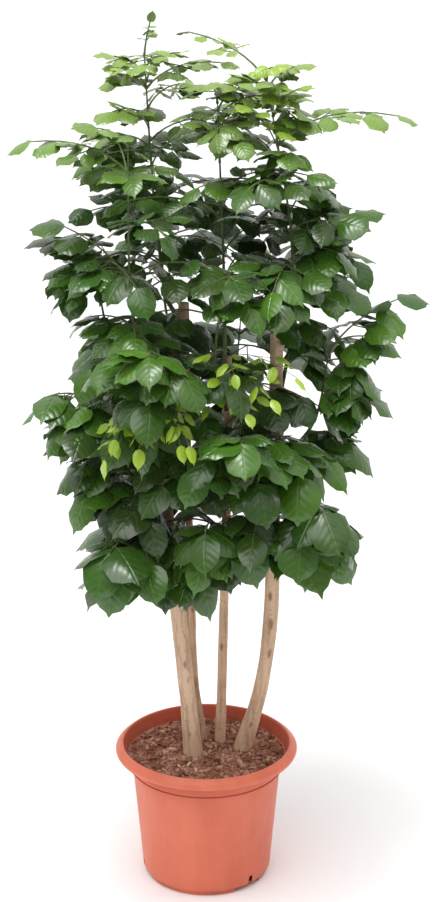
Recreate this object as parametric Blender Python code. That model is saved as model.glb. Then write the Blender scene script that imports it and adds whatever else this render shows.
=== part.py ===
"""A potted china doll plant, in metres, with +Z up and the front towards -Y.

Four woody stems stand in the soil of a round nursery pot. Each was cut back once,
and carries green shoots whose compound leaves fill a tall crown. The origin is the
centre of the pot's underside.
"""
import math
import random

import bpy
import bmesh
from mathutils import Matrix, Vector
from mathutils.bvhtree import BVHTree

# The small gap between pieces that touch
GAP = 0.0003

# The pot, a turned plastic shell
POT_SIDES = 32
RIM_OUTER_RADIUS = 0.160
RIM_TUBE_RADIUS = 0.0072
RIM_HEIGHT = 0.2355
BODY_TOP_RADIUS = 0.1311
BODY_TOP_HEIGHT = 0.204
SHOULDER_RADIUS = 0.1430
SHOULDER_HEIGHT = 0.220
BODY_BASE_RADIUS = 0.1137
BASE_CORNER_RADIUS = 0.008
BASE_EDGE_HEIGHT = 0.006
WALL = 0.0024
FLOOR_TOP = 0.0085

# The wall is sunk where it meets the floor, and is thicker on the shoulder's slope
FLOOR_ROUNDING = 0.006
SHOULDER_WALL = 0.0030
SHOULDER_DROP = 0.0008
RIM_STEPS = 7

# The feet that lift the pot off the ground, and its drain holes
FOOT_OUTER_RADIUS = 0.1075
FOOT_INNER_RADIUS = 0.0975
FOOT_TOP = 0.007
FOOT_ARC_DEG = 88.0
FOOT_STEPS = 4
FOOT_COUNT = 3
FIRST_FOOT_CENTRE_DEG = -107.0
CENTRE_PAD_RADIUS = 0.022
CENTRE_PAD_SIDES = 12
DRAIN_RADIUS = 0.0055
DRAIN_SIDES = 6
DRAIN_REACH = (-0.01, 0.03)
INNER_DRAIN_CIRCLE_RADIUS = 0.047
CORNER_DRAIN_CIRCLE_RADIUS = 0.1105

# The soil
SOIL_HEIGHT = 0.223
SOIL_RADIUS = 0.1378
SOIL_BUMP = 0.0022
SOIL_CROWN = 0.004
SOIL_RINGS = 4
SOIL_SIDES = 16

# Each woody stem: its route from its root end to its cut top, and its radius at both
TRUNK_SIDES = 8
TRUNK_STEPS = 9
FLARE = 0.16
FLARE_HEIGHT = 0.03
TRUNKS = {
    "left_front": {
        "route": [(-0.020, -0.002, 0.12), (-0.0235, -0.003, 0.223), (-0.035, -0.008, 0.36),
                  (-0.0485, -0.013, 0.50), (-0.074, -0.018, 0.74), (-0.090, -0.020, 0.97)],
        "radii": (0.0155, 0.0118),
    },
    "left_back": {
        "route": [(-0.008, 0.056, 0.12), (-0.0105, 0.058, 0.223), (-0.025, 0.066, 0.34),
                  (-0.030, 0.074, 0.50), (-0.036, 0.086, 0.78), (-0.037, 0.090, 1.02)],
        "radii": (0.0110, 0.0094),
    },
    "middle": {
        "route": [(0.0240, 0.043, 0.12), (0.0245, 0.043, 0.223), (0.0280, 0.043, 0.35),
                  (0.0315, 0.043, 0.50), (0.036, 0.040, 0.74), (0.037, 0.035, 0.94)],
        "radii": (0.0092, 0.0076),
    },
    "right": {
        "route": [(0.030, 0.021, 0.12), (0.0640, 0.020, 0.223), (0.0965, 0.018, 0.345),
                  (0.1125, 0.014, 0.49), (0.1150, 0.010, 0.74), (0.118, 0.006, 0.99)],
        "radii": (0.0148, 0.0110),
    },
}

# Each green shoot: the woody stem and height that it leaves from, then the points that
# it passes through, and how many pairs of leaves it carries
SHOOTS = {
    "left_front_low": ("left_front", 0.60, [(-0.090, -0.080, 0.650), (-0.115, -0.130, 0.680)], 2),
    "left_front_side": ("left_front", 0.70, [(-0.145, -0.050, 0.790), (-0.190, -0.055, 0.890)], 2),
    "left_front_face": ("left_front", 0.82, [(-0.095, -0.105, 0.900), (-0.085, -0.175, 1.000)], 2),
    "left_front_mid": ("left_front", 0.89, [(-0.160, -0.025, 1.000), (-0.180, -0.025, 1.130)], 2),
    "left_front_top": ("left_front", 0.94, [(-0.120, -0.075, 1.080), (-0.120, -0.080, 1.310)], 3),
    "left_back_low": ("left_back", 0.66, [(-0.100, 0.150, 0.740), (-0.135, 0.180, 0.840)], 2),
    "left_back_mid": ("left_back", 0.88, [(-0.070, 0.165, 0.990), (-0.085, 0.190, 1.130)], 2),
    "left_back_top": ("left_back", 0.99, [(-0.085, 0.080, 1.190), (-0.098, 0.060, 1.435)], 4),
    "middle_low": ("middle", 0.62, [(0.020, -0.050, 0.670), (0.010, -0.120, 0.700)], 2),
    "middle_face": ("middle", 0.74, [(0.045, -0.085, 0.800), (0.050, -0.170, 0.860)], 3),
    "middle_front": ("middle", 0.84, [(0.015, -0.090, 0.960), (0.030, -0.150, 1.110)], 2),
    "middle_back": ("middle", 0.78, [(0.050, 0.150, 0.860), (0.060, 0.200, 0.960)], 2),
    "middle_top": ("middle", 0.91, [(0.030, 0.000, 1.100), (0.020, -0.020, 1.370)], 4),
    "right_low": ("right", 0.63, [(0.140, -0.070, 0.690), (0.155, -0.115, 0.730)], 2),
    "right_side": ("right", 0.76, [(0.185, -0.010, 0.850), (0.205, -0.015, 0.970)], 2),
    "right_back": ("right", 0.84, [(0.150, 0.130, 0.980), (0.150, 0.165, 1.120)], 2),
    "right_top": ("right", 0.96, [(0.140, -0.030, 1.150), (0.098, -0.020, 1.405)], 4),
}
COLLAR_LENGTH = 0.009
COLLAR_RADIUS = 0.0068
COLLAR_SIDES = 6
SHOOT_SIDES = 5
SHOOT_STEPS = 5
SHOOT_STRAIGHT = 0.016
SHOOT_RADII = (0.0046, 0.0016)
FINE_STEPS = 48
FIRST_PAIR_AT = 0.26
LAST_PAIR_AT = 0.90

# The crown's reach from the plant's middle at a few heights: left, right, front and back
CROWN = [
    (0.50, 0.13, 0.12, 0.14, 0.12),
    (0.60, 0.20, 0.20, 0.23, 0.20),
    (0.72, 0.25, 0.26, 0.29, 0.27),
    (0.90, 0.27, 0.30, 0.31, 0.30),
    (1.06, 0.27, 0.32, 0.30, 0.31),
    (1.20, 0.26, 0.28, 0.26, 0.28),
    (1.32, 0.23, 0.22, 0.21, 0.23),
    (1.42, 0.17, 0.16, 0.14, 0.16),
    (1.52, 0.11, 0.08, 0.07, 0.08),
]

# The shoot whose tip is the plant's top
LEADER = "left_back_top"

# Long leaves that stand out of the crown: their shoot, the share of its length where
# they start, and where their tip reaches
LONG_LEAVES = [
    ("left_front_top", 0.92, (-0.318, -0.060, 1.330)),
    ("left_front_top", 0.55, (-0.255, -0.130, 1.200)),
    ("left_front_mid", 0.80, (-0.283, -0.030, 1.070)),
    ("left_front_side", 0.85, (-0.262, -0.090, 0.930)),
    ("left_front_side", 0.45, (-0.280, -0.060, 0.785)),
    ("left_back_top", 0.93, (-0.175, 0.030, 1.455)),
    (LEADER, 1.00, (-0.083, 0.056, 1.516)),
    ("middle_top", 0.97, (0.075, -0.080, 1.425)),
    ("right_top", 0.82, (0.350, 0.000, 1.358)),
    ("right_top", 0.97, (0.168, -0.040, 1.452)),
    ("right_top", 0.45, (0.285, -0.060, 1.215)),
    ("right_side", 0.95, (0.368, -0.030, 1.070)),
    ("right_side", 0.60, (0.322, -0.040, 0.925)),
    ("right_low", 0.70, (0.245, -0.150, 0.690)),
]

# A compound leaf: a stalk with a leaflet at its end and one on each side of its nodes,
# where the first node's sit on long side stalks
UP = Vector((0, 0, 1))
STALK_RADII = (0.0017, 0.0011)
STALK_TURNS = [(0, 0), (9, 0), (-9, 0), (0, 0.12), (0, -0.12), (18, 0.05), (-18, 0.05),
               (27, 0.1), (-27, 0.1), (12, -0.2), (-12, -0.2), (36, 0), (-36, 0)]
NODE_SHARES = (0.44, 0.80)
NODE_ANGLES_DEG = (58, 62)
NODE_STALK_SHARES = (0.26, 0.0)
NODE_HALF_LENGTH = 0.0015
BARE_STALK_SHARE = 0.15
LONGEST_LEAF = 3.8
SHORTEST_LEAF = 2.0

# A leaflet: its length by height, and the turns that it tries to stay clear of others
LEAFLET_LENGTHS = [(0.50, 0.084), (0.70, 0.080), (0.90, 0.068), (1.20, 0.056), (1.40, 0.042), (1.52, 0.028)]
LEAFLET_WIDTH_SHARE = 0.60
LEAFLET_STALK = 0.005
LEAFLET_SIZES = (1.0, 0.88, 0.76)
LEAFLET_TURNS = [(0, 0, 0), (14, 0, 0), (-14, 0, 0), (0, 14, 0), (0, -14, 0), (0, 0, 22), (0, 0, -22),
                 (28, 0, 0), (-28, 0, 0), (20, 16, 15), (20, -16, -15), (-20, 16, -15), (-20, -16, 15),
                 (0, 28, 10), (0, -28, -10), (42, 0, 0), (-45, 0, 0)]
DROOP = [(0.50, 0.95), (0.70, 0.75), (0.95, 0.45), (1.20, 0.28), (1.45, 0.08)]
HALF_THICKNESS = 0.0008
CLEARANCE = 0.0008

SEED = 7


def clear_scene():
    for old in list(bpy.data.objects):
        bpy.data.objects.remove(old)


def plain_material(name, colour, roughness):
    material = bpy.data.materials.new(name)
    material.use_nodes = True
    shader = material.node_tree.nodes["Principled BSDF"]
    shader.inputs["Base Color"].default_value = (*colour, 1.0)
    shader.inputs["Roughness"].default_value = roughness
    shader.inputs["Metallic"].default_value = 0.0
    return material


def new_object(name, vertices, faces, material=None):
    """An object with a closed mesh whose faces are made to point out."""
    mesh = bpy.data.meshes.new(name)
    mesh.from_pydata([tuple(v) for v in vertices], [], faces)
    shape = bmesh.new()
    shape.from_mesh(mesh)
    bmesh.ops.recalc_face_normals(shape, faces=shape.faces)
    shape.to_mesh(mesh)
    shape.free()
    thing = bpy.data.objects.new(name, mesh)
    bpy.context.scene.collection.objects.link(thing)
    if material:
        mesh.materials.append(material)
    return thing


def apply_modifiers(thing):
    """Replace an object's mesh by the one that its modifiers make of it."""
    bpy.context.view_layer.update()
    evaluated = thing.evaluated_get(bpy.context.evaluated_depsgraph_get())
    mesh = bpy.data.meshes.new_from_object(evaluated)
    thing.modifiers.clear()
    thing.data = mesh


def cut_or_join(thing, others, operation, solver="EXACT"):
    """One Boolean between an object and a set of others, which are then removed."""
    group = bpy.data.collections.new("others")
    bpy.context.scene.collection.children.link(group)
    for other in others:
        group.objects.link(other)
    boolean = thing.modifiers.new("Boolean", "BOOLEAN")
    boolean.operation = operation
    boolean.operand_type = "COLLECTION"
    boolean.collection = group
    boolean.solver = solver
    apply_modifiers(thing)
    for other in others:
        bpy.data.objects.remove(other)
    bpy.data.collections.remove(group)


def read_between(table, height):
    """A row of a table of heights, read between its entries on straight lines."""
    if height <= table[0][0]:
        return table[0][1:]
    for low, high in zip(table, table[1:]):
        if height <= high[0]:
            share = (height - low[0]) / (high[0] - low[0])
            return tuple(a + (b - a) * share for a, b in zip(low[1:], high[1:]))
    return table[-1][1:]


def smooth_route(points, steps):
    """Points along a smooth curve through the given ones, at even steps."""
    points = [Vector(p) for p in points]
    ends = [points[0] * 2 - points[1]] + points + [points[-1] * 2 - points[-2]]
    spans = len(points) - 1
    route = []
    for step in range(steps + 1):
        place = spans * step / steps
        span = min(int(place), spans - 1)
        t = place - span
        a, b, c, d = ends[span:span + 4]
        route.append(0.5 * (2 * b + (c - a) * t + (2 * a - 5 * b + 4 * c - d) * t * t
                            + (3 * b - a - 3 * c + d) * t ** 3))
    return route


def directions_along(route):
    headings = []
    for index in range(len(route)):
        before = route[max(index - 1, 0)]
        after = route[min(index + 1, len(route) - 1)]
        headings.append((after - before).normalized())
    return headings


def frame_across(heading, up):
    """Two directions across a heading: to its right, and up from it."""
    right = heading.cross(up)
    if right.length < 1e-6:
        right = heading.cross(Vector((1, 0, 0)))
    right.normalize()
    return right, right.cross(heading).normalized()


def tube(route, radii, sides, up=Vector((0, 1, 0))):
    """The vertices and faces of a closed tube with flat ends."""
    vertices, faces = [], []
    for point, heading, radius in zip(route, directions_along(route), radii):
        right, above = frame_across(heading, up)
        for side in range(sides):
            angle = 2 * math.pi * side / sides
            vertices.append(point + right * (radius * math.cos(angle)) + above * (radius * math.sin(angle)))
    for ring in range(len(route) - 1):
        for side in range(sides):
            a = ring * sides + side
            b = ring * sides + (side + 1) % sides
            faces.append((a, b, b + sides, a + sides))
    faces.append(tuple(range(sides)))
    last = (len(route) - 1) * sides
    faces.append(tuple(range(last, last + sides)))
    return vertices, faces


def on_circle(radius, angle, height):
    return Vector((radius * math.cos(angle), radius * math.sin(angle), height))


def turned(profile, sides):
    """The vertices and faces of a closed ring turned round the pot's axis."""
    vertices, faces = [], []
    count = len(profile)
    for side in range(sides):
        angle = 2 * math.pi * side / sides
        for radius, height in profile:
            vertices.append(on_circle(radius, angle, height))
    for side in range(sides):
        for index in range(count - 1):
            a = side * count + index
            b = ((side + 1) % sides) * count + index
            faces.append((a, b, b + 1, a + 1))
    faces.append(tuple(side * count for side in range(sides)))
    faces.append(tuple(side * count + count - 1 for side in range(sides)))
    return vertices, faces


def arc(centre, radius, start_deg, end_deg, steps):
    points = []
    for step in range(steps + 1):
        angle = math.radians(start_deg + (end_deg - start_deg) * step / steps)
        points.append((centre[0] + radius * math.cos(angle), centre[1] + radius * math.sin(angle)))
    return points


def inner_radius(height):
    """The inner wall's radius at a height under the shoulder."""
    share = (height - BASE_CORNER_RADIUS) / (BODY_TOP_HEIGHT - BASE_CORNER_RADIUS)
    return BODY_BASE_RADIUS + (BODY_TOP_RADIUS - BODY_BASE_RADIUS) * share - WALL


def make_pot():
    """The turned shell with its rolled rim, then its feet and drain holes."""
    rim_centre = (RIM_OUTER_RADIUS - RIM_TUBE_RADIUS, RIM_HEIGHT)
    corner = (BODY_BASE_RADIUS - BASE_CORNER_RADIUS, BASE_EDGE_HEIGHT + BASE_CORNER_RADIUS)
    profile = arc(corner, BASE_CORNER_RADIUS, -90, 0, 2)
    profile += [(BODY_TOP_RADIUS, BODY_TOP_HEIGHT), (SHOULDER_RADIUS, SHOULDER_HEIGHT)]
    profile += arc(rim_centre, RIM_TUBE_RADIUS, -100, 185, RIM_STEPS)
    inner_top = BODY_TOP_HEIGHT + SHOULDER_DROP
    inner_base = FLOOR_TOP + FLOOR_ROUNDING
    profile += [(SHOULDER_RADIUS - SHOULDER_WALL, SHOULDER_HEIGHT),
                (inner_radius(inner_top), inner_top), (inner_radius(inner_base), inner_base),
                (inner_radius(inner_base) - FLOOR_ROUNDING, FLOOR_TOP)]
    pot = new_object("pot", *turned(profile, POT_SIDES),
                     plain_material("pot_plastic", (0.62, 0.17, 0.10), 0.42))

    feet = []
    pitch = 360.0 / FOOT_COUNT
    for index in range(FOOT_COUNT):
        feet.append(make_foot(FIRST_FOOT_CENTRE_DEG + pitch * index))
    pad_route = [Vector((0, 0, 0)), Vector((0, 0, FOOT_TOP))]
    feet.append(new_object("pad", *tube(pad_route, [CENTRE_PAD_RADIUS] * 2, CENTRE_PAD_SIDES)))
    cut_or_join(pot, feet, "UNION")

    drains = []
    for index in range(FOOT_COUNT):
        foot = FIRST_FOOT_CENTRE_DEG + pitch * index
        drains.append(drain(foot + 0.5 * pitch, CORNER_DRAIN_CIRCLE_RADIUS))
        drains.append(drain(foot, INNER_DRAIN_CIRCLE_RADIUS))
    cut_or_join(pot, drains, "DIFFERENCE")
    return pot


def make_foot(centre_deg):
    """A flat-bottomed arc under the base's edge, sunk into the floor's underside."""
    vertices, faces = [], []
    for step in range(FOOT_STEPS + 1):
        angle = math.radians(centre_deg + FOOT_ARC_DEG * (step / FOOT_STEPS - 0.5))
        for radius, height in ((FOOT_INNER_RADIUS, 0.0), (FOOT_OUTER_RADIUS, 0.0),
                               (FOOT_OUTER_RADIUS, FOOT_TOP), (FOOT_INNER_RADIUS, FOOT_TOP)):
            vertices.append(on_circle(radius, angle, height))
    for step in range(FOOT_STEPS):
        for side in range(4):
            a = step * 4 + side
            b = step * 4 + (side + 1) % 4
            faces.append((a, b, b + 4, a + 4))
    faces.append((0, 1, 2, 3))
    faces.append(tuple(range(FOOT_STEPS * 4, FOOT_STEPS * 4 + 4)))
    return new_object("foot", vertices, faces)


def drain(angle_deg, circle_radius):
    """A cutter for one drain hole through the floor."""
    route = [on_circle(circle_radius, math.radians(angle_deg), height) for height in DRAIN_REACH]
    return new_object("drain", *tube(route, [DRAIN_RADIUS] * 2, DRAIN_SIDES))


def trunk_tube(name, extra_radius=0.0):
    """A woody stem's tube, or its hole's when a little wider."""
    shape = TRUNKS[name]
    route = smooth_route(shape["route"], TRUNK_STEPS)
    base, top = shape["radii"]
    wobble = random.Random(SEED + len(name))
    radii = []
    for step, point in enumerate(route):
        swell = wobble.uniform(0.97, 1.05)
        flare = 1.0 + FLARE * math.exp(-((point.z - SOIL_HEIGHT) / FLARE_HEIGHT) ** 2)
        radii.append((base + (top - base) * step / TRUNK_STEPS) * swell * flare + extra_radius)
    return route, radii


def make_soil():
    """A filling of the pot with a crumbly top and a plain hole for each woody stem."""
    wobble = random.Random(SEED)
    vertices, faces = [], []
    for ring in range(SOIL_RINGS):
        inward = ring / SOIL_RINGS
        for side in range(SOIL_SIDES):
            angle = 2 * math.pi * (side + 0.5 * (ring % 2)) / SOIL_SIDES
            height = SOIL_HEIGHT + wobble.uniform(-1, 1) * SOIL_BUMP + SOIL_CROWN * inward
            vertices.append(on_circle(SOIL_RADIUS * (1 - inward), angle, height))
    waist_radius = inner_radius(BODY_TOP_HEIGHT) - WALL * 0.5
    base_radius = inner_radius(FLOOR_TOP + FLOOR_ROUNDING) - FLOOR_ROUNDING - GAP
    for radius, height in ((waist_radius, BODY_TOP_HEIGHT), (base_radius, FLOOR_TOP + GAP)):
        for side in range(SOIL_SIDES):
            vertices.append(on_circle(radius, 2 * math.pi * side / SOIL_SIDES, height))
    vertices.append(Vector((0, 0, SOIL_HEIGHT + SOIL_CROWN)))
    waist = SOIL_RINGS * SOIL_SIDES
    base = waist + SOIL_SIDES
    innermost = waist - SOIL_SIDES
    for side in range(SOIL_SIDES):
        following = (side + 1) % SOIL_SIDES
        for ring in range(SOIL_RINGS - 1):
            a, b = ring * SOIL_SIDES + side, ring * SOIL_SIDES + following
            c, d = a + SOIL_SIDES, b + SOIL_SIDES
            faces += [(a, b, d), (a, d, c)] if ring % 2 else [(a, b, c), (b, d, c)]
        faces += [(side, waist + side, waist + following), (side, waist + following, following)]
        faces.append((waist + side, base + side, base + following, waist + following))
        faces.append((innermost + side, innermost + following, len(vertices) - 1))
    faces.append(tuple(range(base, base + SOIL_SIDES)))
    soil = new_object("soil", vertices, faces, plain_material("bark_soil", (0.16, 0.07, 0.04), 0.95))

    holes = []
    for name in TRUNKS:
        route, radii = trunk_tube(name, GAP / math.cos(math.pi / TRUNK_SIDES))
        route[0] = route[0] + (route[0] - route[1]).normalized() * GAP
        holes.append(new_object("hole", *tube(route, radii, TRUNK_SIDES)))
    cut_or_join(soil, holes, "DIFFERENCE")
    return soil


def point_at_height(route, height):
    for low, high in zip(route, route[1:]):
        if low.z <= height <= high.z:
            return low.lerp(high, (height - low.z) / (high.z - low.z))
    return route[-1]


def shoot_start(name):
    """The place and heading of a shoot's flat start, just off its collar."""
    trunk_name, height, points, _pairs = SHOOTS[name]
    route, radii = trunk_tube(trunk_name)
    centre = point_at_height(route, height)
    towards = Vector(points[0]) - centre
    level = Vector((towards.x, towards.y, 0)).normalized()
    heading = (level * 0.8 + Vector((0, 0, 0.6))).normalized()
    return centre, heading, centre + heading * (sum(radii) / len(radii) + COLLAR_LENGTH)


def make_trunk(name):
    """A woody stem with a short collar where each shoot leaves it."""
    trunk = new_object("trunk_" + name, *tube(*trunk_tube(name), TRUNK_SIDES),
                       plain_material("bark_" + name, (0.52, 0.36, 0.24), 0.85))
    collars = []
    for shoot, row in SHOOTS.items():
        if row[0] == name:
            centre, _heading, end = shoot_start(shoot)
            collars.append(new_object("collar", *tube([centre, end], [COLLAR_RADIUS] * 2, COLLAR_SIDES)))
    cut_or_join(trunk, collars, "UNION")
    return trunk


def shoot_route(name, steps=SHOOT_STEPS):
    _centre, heading, end = shoot_start(name)
    start = end + heading * GAP
    straight_end = start + heading * SHOOT_STRAIGHT
    return [start] + smooth_route([straight_end] + [Vector(p) for p in SHOOTS[name][2]], steps - 1)


class Obstacles:
    """Everything grown so far, kept as trees of faces that say what crosses what."""

    def __init__(self):
        self.entries = []

    def add(self, node, vertices, faces, leaf=None):
        low = Vector([min(v[axis] for v in vertices) for axis in range(3)])
        high = Vector([max(v[axis] for v in vertices) for axis in range(3)])
        self.entries.append((node, leaf, BVHTree.FromPolygons(vertices, faces), low, high))

    def crossings(self, node, vertices, faces, leaf):
        """How much is crossed: what must stay clear, then what one Boolean union may join."""
        low = Vector([min(v[axis] for v in vertices) for axis in range(3)])
        high = Vector([max(v[axis] for v in vertices) for axis in range(3)])
        tree = BVHTree.FromPolygons(vertices, faces)
        forbidden, joined = 0, 0
        for entry_node, entry_leaf, entry_tree, entry_low, entry_high in self.entries:
            if any(low[k] > entry_high[k] or high[k] < entry_low[k] for k in range(3)):
                continue
            if tree.overlap(entry_tree):
                if entry_node == node and entry_leaf != leaf:
                    joined += 1
                else:
                    forbidden += 1
        return forbidden, joined


def leaflet_length(height):
    return read_between(LEAFLET_LENGTHS, height)[0]


def crown_reach(direction, height):
    """How far the crown reaches from the plant's middle, in a level direction."""
    left, right, front, back = read_between(CROWN, height)
    across = right if direction.x > 0 else left
    deep = back if direction.y > 0 else front
    return 1.0 / math.hypot(direction.x / across, direction.y / deep)


def leaf_plans():
    """Each compound leaf's shoot, start, heading there, and the place that its tip aims at."""
    plans = []
    for name, (_trunk, _height, _points, pairs) in SHOOTS.items():
        route = shoot_route(name, FINE_STEPS)
        headings = directions_along(route)
        luck = random.Random(SEED * 31 + len(plans))
        spin = luck.uniform(0, 180)
        for pair in range(pairs):
            at = int(FINE_STEPS * (FIRST_PAIR_AT + (LAST_PAIR_AT - FIRST_PAIR_AT) * pair / (pairs - 1)))
            for side in range(2):
                level = math.radians(spin + 90 * pair + 180 * side + luck.uniform(-20, 20))
                out = Vector((math.cos(level), math.sin(level), 0))
                outward = Vector((route[at].x, route[at].y, 0)).normalized()
                out = (out + outward * 0.55).normalized()
                plans.append((name, route[at], headings[at], tip_for(route[at], out, luck)))
        if name != LEADER:
            out = Vector((headings[-1].x, headings[-1].y, 0)) + Vector((route[-1].x, route[-1].y, 0))
            plans.append((name, route[-1], headings[-1], tip_for(route[-1], out.normalized(), luck, 0.25)))
    for name, share, tip in LONG_LEAVES:
        route = shoot_route(name, FINE_STEPS)
        at = int(round(share * FINE_STEPS))
        plans.append((name, route[at], directions_along(route)[at], Vector(tip)))
    return plans


def tip_for(start, out, luck, raised=0.0):
    """Where a leaf's tip goes: out to the crown's surface, up when high and down when low."""
    lift = -0.30 + 0.70 * (start.z - 0.60) / 0.85 + luck.uniform(-0.12, 0.12) + raised
    size = leaflet_length(start.z)
    reach = LONGEST_LEAF * size
    for _again in range(3):
        tip = start + out * reach
        level = Vector((tip.x, tip.y, 0))
        limit = crown_reach(level.normalized(), start.z + lift * reach) * luck.uniform(0.88, 1.04)
        if level.length > limit:
            reach *= max(0.35, 1 - (level.length - limit) / reach)
    reach = max(reach, SHORTEST_LEAF * size)
    return start + out * reach + Vector((0, 0, lift * reach))


def stalk_route(start, heading, tip, steps=8):
    """A leaf's main stalk leaves its shoot upwards and bends over to its tip."""
    span = tip - start
    first = (span.normalized() + Vector((0, 0, 0.55)) + heading * 0.25).normalized()
    bend = start + first * span.length * 0.48
    route = []
    for step in range(steps + 1):
        t = step / steps
        route.append(start * (1 - t) ** 2 + bend * (2 * t * (1 - t)) + tip * t * t)
    return route


def stalk_point(route, share):
    """The place and heading at a share of a stalk's length."""
    place = share * (len(route) - 1)
    span = min(int(place), len(route) - 2)
    return route[span].lerp(route[span + 1], place - span), (route[span + 1] - route[span]).normalized()


def plan_stalk(node, number, start, heading, tip, obstacles):
    """Turn a leaf's stalk a little until it is clear of what grew before it."""
    size = leaflet_length(tip.z)
    best = None
    for turn_deg, rise in STALK_TURNS:
        span = Matrix.Rotation(math.radians(turn_deg), 3, "Z") @ (tip - start)
        span.z += rise * span.length
        end = start + span * (1 - size / max(span.length, size * 1.6))
        route = stalk_route(start, heading, end)
        check_route = [stalk_point(route, share)[0] for share in (0.0, *NODE_SHARES, 1.0)]
        check_route[0] = check_route[0].lerp(check_route[1], BARE_STALK_SHARE)
        crossed = obstacles.crossings(node, *tube(check_route, [STALK_RADII[0] + CLEARANCE] * 4, 3, UP), number)
        if best is None or crossed < best[0]:
            best = (crossed, route)
        if sum(crossed) == 0:
            break
    crossed, route = best
    if crossed[0]:
        return None
    whole = [stalk_point(route, share)[0] for share in (0.0, *NODE_SHARES, 1.0)]
    obstacles.add(node, *tube(whole, [STALK_RADII[0] + CLEARANCE] * 4, 3, UP), number)
    return route


def blade_points(form, thickness=HALF_THICKNESS):
    """The seven points of a blade: its edge from left root to right root, its top and underside."""
    root, along, up, stalk, blade, width, droop, fold = form
    right, up = frame_across(along, up)
    points = []
    for across, forward, above in ((-1.0, 0.30, 0), (-0.72, 0.66, 0), (0, 1, 0), (0.72, 0.66, 0), (1.0, 0.30, 0),
                                   (0, 0.42, thickness), (0, 0.42, -thickness)):
        sag = droop * blade * forward * forward
        lower = fold * 0.5 * width * abs(across)
        points.append(root + right * (0.5 * width * across) + along * (stalk + blade * forward - 0.25 * sag * forward)
                      + up * (above - sag - lower))
    return points


def add_blade(vertices, faces, base, points):
    """Join a lens-like blade to a loop of points: its top right, top left, then those below."""
    first = len(vertices)
    vertices += points
    top, under = first + 5, first + 6
    edge = [base[1]] + list(range(first, first + 5)) + [base[0]]
    faces += [(top, a, b) for a, b in zip(edge, edge[1:] + edge[:1])]
    edge += reversed(base[2:])
    faces += [(under, b, a) for a, b in zip(edge, edge[1:] + edge[:1])]


def stalk_ring(point, heading, up, radius):
    """Three points round a stalk: two along its flat top, and one below."""
    right, above = frame_across(heading, up)
    return [point + right * (radius * 0.87) + above * (radius * 0.5),
            point - right * (radius * 0.87) + above * (radius * 0.5), point - above * radius]


def leaf_mesh(leaf):
    """One compound leaf as a closed mesh: its stalk, whose sides open into leaflets."""
    vertices, faces = [], []
    route = leaf["route"]
    length = sum((b - a).length for a, b in zip(route, route[1:]))
    shares = [0.0]
    for share in NODE_SHARES:
        shares += [share - NODE_HALF_LENGTH / length, share + NODE_HALF_LENGTH / length]
    shares.append(1.0)
    for share in shares:
        point, heading = stalk_point(route, share)
        radius = STALK_RADII[0] + (STALK_RADII[1] - STALK_RADII[0]) * share
        vertices += stalk_ring(point, heading, UP, radius)
    faces.append((0, 1, 2))
    for ring in range(len(shares) - 1):
        right, left, below = range(3 * ring, 3 * ring + 3)
        faces.append((right, left, left + 3, right + 3))
        node = ring // 2 if ring % 2 else None
        sides = {-1: [left + 3, left, below, below + 3], 1: [right, right + 3, below + 3, below]}
        for side, base in sides.items():
            form = leaf["leaflets"].get((node, side))
            if form is None:
                faces.append(tuple(base))
                continue
            root, along, up, stalk = form[:4]
            if stalk > 2 * LEAFLET_STALK:
                base = add_side_stalk(vertices, faces, base, stalk_ring(root + along * stalk, along, up, STALK_RADII[1]))
            add_blade(vertices, faces, base, blade_points(form))
    last = 3 * (len(shares) - 1)
    add_blade(vertices, faces, [last, last + 1, last + 2], blade_points(leaf["leaflets"]["end"]))
    return vertices, faces


def add_side_stalk(vertices, faces, base, ring):
    """Lead a four-cornered loop on the main stalk out to a three-sided ring."""
    right, left, below = range(len(vertices), len(vertices) + 3)
    vertices += ring
    faces += [(base[0], base[1], left, right), (base[1], base[2], below, left),
              (base[3], base[0], right, below), (base[2], base[3], below)]
    return [right, left, below]


def blade_clear(obstacles, leaf, root, along, up, stalk, blade, luck):
    """Bend, turn or shrink a leaflet until it is clear of all that has grown."""
    width = blade * LEAFLET_WIDTH_SHARE * luck.uniform(0.92, 1.08)
    droop = luck.uniform(0.10, 0.34)
    fold = luck.uniform(0.10, 0.30)
    right, up = frame_across(along, up)
    best = None
    for size in LEAFLET_SIZES:
        for pitch, yaw, roll in LEAFLET_TURNS:
            turn = (Matrix.Rotation(math.radians(roll), 3, along) @ Matrix.Rotation(math.radians(yaw), 3, up)
                    @ Matrix.Rotation(math.radians(pitch), 3, right))
            form = (root, turn @ along, turn @ up, stalk, blade * size, width * size, droop, fold)
            vertices, faces = thick_leaflet(form, LEAFLET_STALK)
            crossed = obstacles.crossings(leaf["node"], vertices, faces, leaf["number"])
            if best is None or crossed < best[0]:
                best = (crossed, form)
            if sum(crossed) == 0:
                break
        if sum(best[0]) == 0:
            break
    crossed, form = best
    if crossed[0]:
        return None
    obstacles.add(leaf["node"], *thick_leaflet(form, 0.0), leaf["number"])
    return form


def thick_leaflet(form, start):
    """A leaflet with some room round it, from a little way along its stalk."""
    root, along, up, stalk = form[:4]
    wide = STALK_RADII[1] + CLEARANCE
    vertices = stalk_ring(root + along * max(stalk, LEAFLET_STALK), along, up, wide)
    faces = []
    if start < stalk:
        vertices += stalk_ring(root + along * start, along, up, wide)
        faces = [(0, 1, 4, 3), (1, 2, 5, 4), (2, 0, 3, 5)]
    add_blade(vertices, faces, [0, 1, 2], blade_points(form, HALF_THICKNESS + CLEARANCE))
    return vertices, faces


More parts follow.
